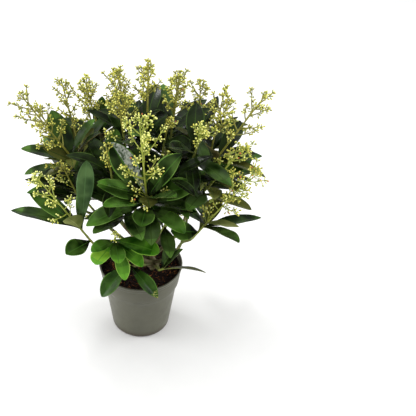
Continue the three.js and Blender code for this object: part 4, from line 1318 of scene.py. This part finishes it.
class Spray:
    """Gathers one spray's twigs and the places of its buds."""

    def __init__(self, rng, finish, heading, fullness):
        self.rng = rng
        self.finish = finish
        self.heading = heading
        self.fullness = fullness
        self.buds = []

    def cluster(self, start, direction, length, count):
        """A branchlet with a bud on its end and others round it on short pedicels."""
        rng = self.rng
        end = start + direction * length
        stalk = PEDICEL_RADIUS * self.fullness["thin"]
        crowded = meets_leaf(start, end, direction)
        if not crowded:
            spray_heap.add(*strand((start, end), (stalk * 1.3, stalk), 4), self.finish)
            self.buds.append((end, direction))
        turn = rng.uniform(0, 360)
        for number in range(count):
            outward = square(direction, turn + number * 360 / count + rng.uniform(-15, 15))
            pedicel = turned(outward, direction, math.radians(rng.uniform(20, 50)))
            foot = start + direction * (length * rng.uniform(0.35, 0.75))
            tip = foot + pedicel * (self.fullness["pedicel"] * rng.uniform(0.8, 1.2))
            facing = (pedicel + direction * 0.3).normalized()
            if not crowded and not meets_leaf(foot, tip, facing):
                spray_heap.add(*strand((foot, tip), (stalk, stalk * 1.1), 4), self.finish)
                self.buds.append((tip, facing))

    def twig(self, root, direction, length):
        """A side twig: bare at its foot, then clusters of buds all round it and at its end."""
        rng = self.rng
        sag = self.heading * (-TWIG_SAG * length) + square(direction, rng.uniform(0, 360)) * 0.5
        walk_length = max(length - CLUSTER_REACH, 0.6 * length)

        def place(share):
            return root + direction * (walk_length * share) + sag * (4 * share * (1 - share))

        steps = max(3, round(length / 5))
        shares = [step / steps for step in range(steps + 1)]
        slimming = SPRAY_TWIG_TIP_RADIUS - SPRAY_TWIG_FOOT_RADIUS
        stout = self.fullness["stout"]
        radii = [stout * (SPRAY_TWIG_FOOT_RADIUS + slimming * share) for share in shares]
        spray_heap.add(*strand([place(share) for share in shares], radii, 5), self.finish)
        turn = rng.uniform(0, 360)
        walked = self.fullness["bare"] * walk_length
        while walked < walk_length - 2:
            slope = math.radians(rng.uniform(30, 50))
            branchlet = turned(square(direction, turn), direction, slope)
            reach = CLUSTER_REACH * rng.uniform(0.75, 1.15)
            ring = self.fullness["ring"] - rng.choice((0, 0, 1))
            self.cluster(place(walked / walk_length), branchlet, reach, ring)
            turn += GOLDEN_ANGLE
            walked += self.fullness["pitch"] * rng.uniform(0.8, 1.2)
        ring = self.fullness["ring"] + rng.choice((0, 1))
        self.cluster(place(1), direction, 0.5 * CLUSTER_REACH, ring)


def soft_finish(name, dark, light, patch, detail, stops, grain, height):
    """Soft green or yellow tissue: two colours in small patches, and a faint grain."""
    finish, tree, shader, _ = two_tone(name, dark, light, 0.5, 0.4, patch, detail, stops)
    add_relief(tree, shader, add_noise(tree, grain, detail=2), height)
    return finish


# Sprays at the back and the top are duller than those at the front: partly their own olive colour,
# partly painted shade where less light reaches them.
DULL_AND_SHADED_SPRAYS = (
    "upper_left", "left_back", "top", "top_right", "back", "back_left", "back_right",
    "right_back", "right", "inner_left",
)
FULLNESS = {
    "lower_right": LOOSE_SPRAY,
    "lower_left": AIRY_SPRAY,
    "centre_right": LOOSE_SPRAY,
    "inner_left": SPARSE_SPRAY,
}
SAP_PATTERN = (6, 3, (0.35, 0.65), 0.8, 0.05)
spray_finishes = [
    soft_finish("spray_stalk", (142, 156, 54), (176, 184, 78), *SAP_PATTERN),
    # The dull stalks are darker partly as painted shade.
    soft_finish("spray_stalk_dull", (112, 114, 38), (150, 147, 60), *SAP_PATTERN),
]
spray_heap = Heap()
bud_places = []
for name, shoot in SHOOTS:
    if "spray" not in shoot:
        continue
    dull = int(name in DULL_AND_SHADED_SPRAYS)
    foot, heading, length = shoot["end"], shoot["heading"], shoot["spray"]
    rng = random.Random(shoot["order"] * 17)
    fullness = FULLNESS.get(name, OPEN_SPRAY if dull else FULL_SPRAY)
    spray = Spray(rng, dull, heading, fullness)
    end = foot + heading * (length - 2)
    steps = max(3, round(length / 8))
    centres = [foot.lerp(end, step / steps) for step in range(steps + 1)]
    centres[0] = foot - heading * 2
    radii = tapering(STALK_FOOT_RADIUS, STALK_TIP_RADIUS, steps)
    radii = [radius * fullness["stalk"] for radius in radii]
    spray_heap.add(*strand(centres, radii, 8), dull)
    spray.cluster(end, heading, 1.5, fullness["ring"] + 1)
    twigs = [
        (root, direction, span)
        for root, direction, span in spray_twigs(shoot)
        if stands(name, root + direction * span)
    ]
    if length > FINE_FROM_LENGTH:
        twigs += fine_twigs(shoot, twigs, fullness, rng)
    for twig in twigs:
        spray.twig(*twig)
    bud_places.append((name, dull, fullness["bud"], spray.buds))
for order, (name, number, below, bearing, rise, length) in enumerate(SMALL_SPRAYS):
    shoot = BRANCHES[name]["shoots"][number]
    root = shoot["end"] - shoot["heading"] * below
    spray = Spray(random.Random(5000 + order), 0, UP, SMALL_SPRAY)
    spray.twig(root, leaning(90 - rise, bearing), length)
    bud_places.append((name, 0, SMALL_SPRAY["bud"], spray.buds))
sprays = spray_heap.make("flower_stalks", spray_finishes)
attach(sprays, "root")
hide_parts(*masses)

# ---- Buds ----
# Closed pale yellow buds like grains of rice, each in a small green cup on its pedicel. A few are
# flushed orange-red.

BUD_RADIUS = 1.25
BUD_SIZE = np.array([[BUD_RADIUS], [BUD_RADIUS], [BUD_LENGTH]])
BUD_SIDES = 5
BUD_OUTLINE = ((0, -0.06), (0.62, 0.05), (1.0, 0.4), (0.68, 0.82), (0, 1))
BUDS_MISSING = 0.04
BUD_PATTERN = (5, 2, (0.3, 0.7), 0.7, 0.04)

bud_finishes = [
    soft_finish("bud_cup", (128, 148, 58), (150, 168, 76), *BUD_PATTERN),
    soft_finish("bud_pale", (240, 240, 124), (254, 254, 164), *BUD_PATTERN),
    soft_finish("bud_yellow", (204, 200, 76), (228, 222, 100), *BUD_PATTERN),
    soft_finish("bud_dull", (156, 150, 52), (186, 178, 74), *BUD_PATTERN),
    soft_finish("bud_flushed", (178, 84, 42), (206, 116, 62), *BUD_PATTERN),
]
# How often a bud is pale, yellow, dull or flushed, on the sprays in front and on the dull ones,
# and on some masses of their own. More pale buds in front and more dull ones behind are painted
# light and shade, and the mixes of some masses lighten or darken their sprays the same way.
BUD_MIX = ((64, 28, 8, 0.9), (16, 40, 44, 0.5))
MASS_BUD_MIX = {
    "lower_left": (76, 22, 2, 0.3),
    "lower_right": (24, 32, 39, 5),
    "upper_left": (8, 36, 56, 0.3),
    "top_right": (34, 44, 22, 0.5),
    "back_right": (34, 44, 22, 0.5),
}
# A bud of unit size along Z, standing on its pedicel. Its lowest rings are its cup.
bud_points, bud_faces = lathe(BUD_OUTLINE, BUD_SIDES)
bud_points = np.array(bud_points)
in_cup = [min(bud_points[corner][2] for corner in face) <= BUD_OUTLINE[1][1] for face in bud_faces]


def add_buds(heap, buds, scale, mix, rng):
    for place, direction in buds:
        if rng.random() < BUDS_MISSING:
            continue
        size = scale * rng.uniform(0.8, 1.15)
        side = np.array(direction.orthogonal().normalized())
        ahead = np.array(direction)
        axes = np.array((side, np.cross(ahead, side), ahead)) * BUD_SIZE * size
        petals = rng.choices((1, 2, 3, 4), mix)[0]
        dealt = [0 if cup else petals for cup in in_cup]
        heap.add(bud_points @ axes + np.array(place), bud_faces, dealt)


for piece_name, wanted in (("buds_front", 0), ("buds_back", 1)):
    bud_heap = Heap()
    for number, (name, dull, scale, buds) in enumerate(bud_places):
        if dull == wanted:
            mix = MASS_BUD_MIX.get(name, BUD_MIX[dull])
            add_buds(bud_heap, buds, scale, mix, random.Random(900 + number))
    buds = bud_heap.make(piece_name, bud_finishes)
    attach(buds, "root")
    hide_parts(*masses)

# ---- Floor and light ----
# A plain white floor under a bright even sky, with large soft lamps above, in front and at both
# sides.

FLOOR_RADIUS = 5.0
FLOOR_CORNERS = 96
SKY_STRENGTH = 0.9
LAMPS_AIM = Vector((0, 0, 0.25))


def paper_finish():
    finish, tree, shader = new_finish("white_paper", 0.9, 0.1)
    tones = (0.3, (0.81, 0.81, 0.81, 1)), (0.7, (0.83, 0.83, 0.83, 1))
    colour = add_ramp(tree, add_noise(tree, 60, detail=2), *tones)
    tree.links.new(colour, shader.inputs["Base Color"])
    return finish


floor_edge = [
    polar(FLOOR_RADIUS / MM, 2 * math.pi * corner / FLOOR_CORNERS)
    for corner in range(FLOOR_CORNERS)
]
floor = make_piece("floor", floor_edge, [tuple(range(FLOOR_CORNERS))], [paper_finish()])

sky = bpy.data.worlds.new("studio")
sky.use_nodes = True
sky.node_tree.nodes["Background"].inputs["Color"].default_value = (1, 1, 1, 1)
sky.node_tree.nodes["Background"].inputs["Strength"].default_value = SKY_STRENGTH
bpy.context.scene.world = sky
bpy.context.scene.view_settings.view_transform = "Standard"


def add_lamp(name, place, size, power):
    """A square soft lamp that faces the middle of the plant."""
    lamp_data = bpy.data.lights.new(name, "AREA")
    lamp_data.shape = "SQUARE"
    lamp_data.size = size
    lamp_data.energy = power
    lamp = add_to_scene(bpy.data.objects.new(name, lamp_data))
    lamp.location = place
    aim = LAMPS_AIM - lamp.location
    lamp.rotation_euler = aim.to_track_quat("-Z", "Y").to_euler()


add_lamp("lamp_above", (-0.2, 0.25, 2.6), 2.0, 16)
add_lamp("lamp_left", (-1.6, 0.1, 1.0), 0.7, 9)
add_lamp("lamp_right", (1.6, 0.3, 1.0), 0.7, 9)
add_lamp("lamp_low_left", (-0.75, -0.15, 0.16), 0.3, 2.2)
add_lamp("lamp_low_right", (0.85, -0.1, 0.16), 0.3, 2.4)
add_lamp("lamp_sparkle", (-0.5, 0.7, 1.5), 0.16, 7)
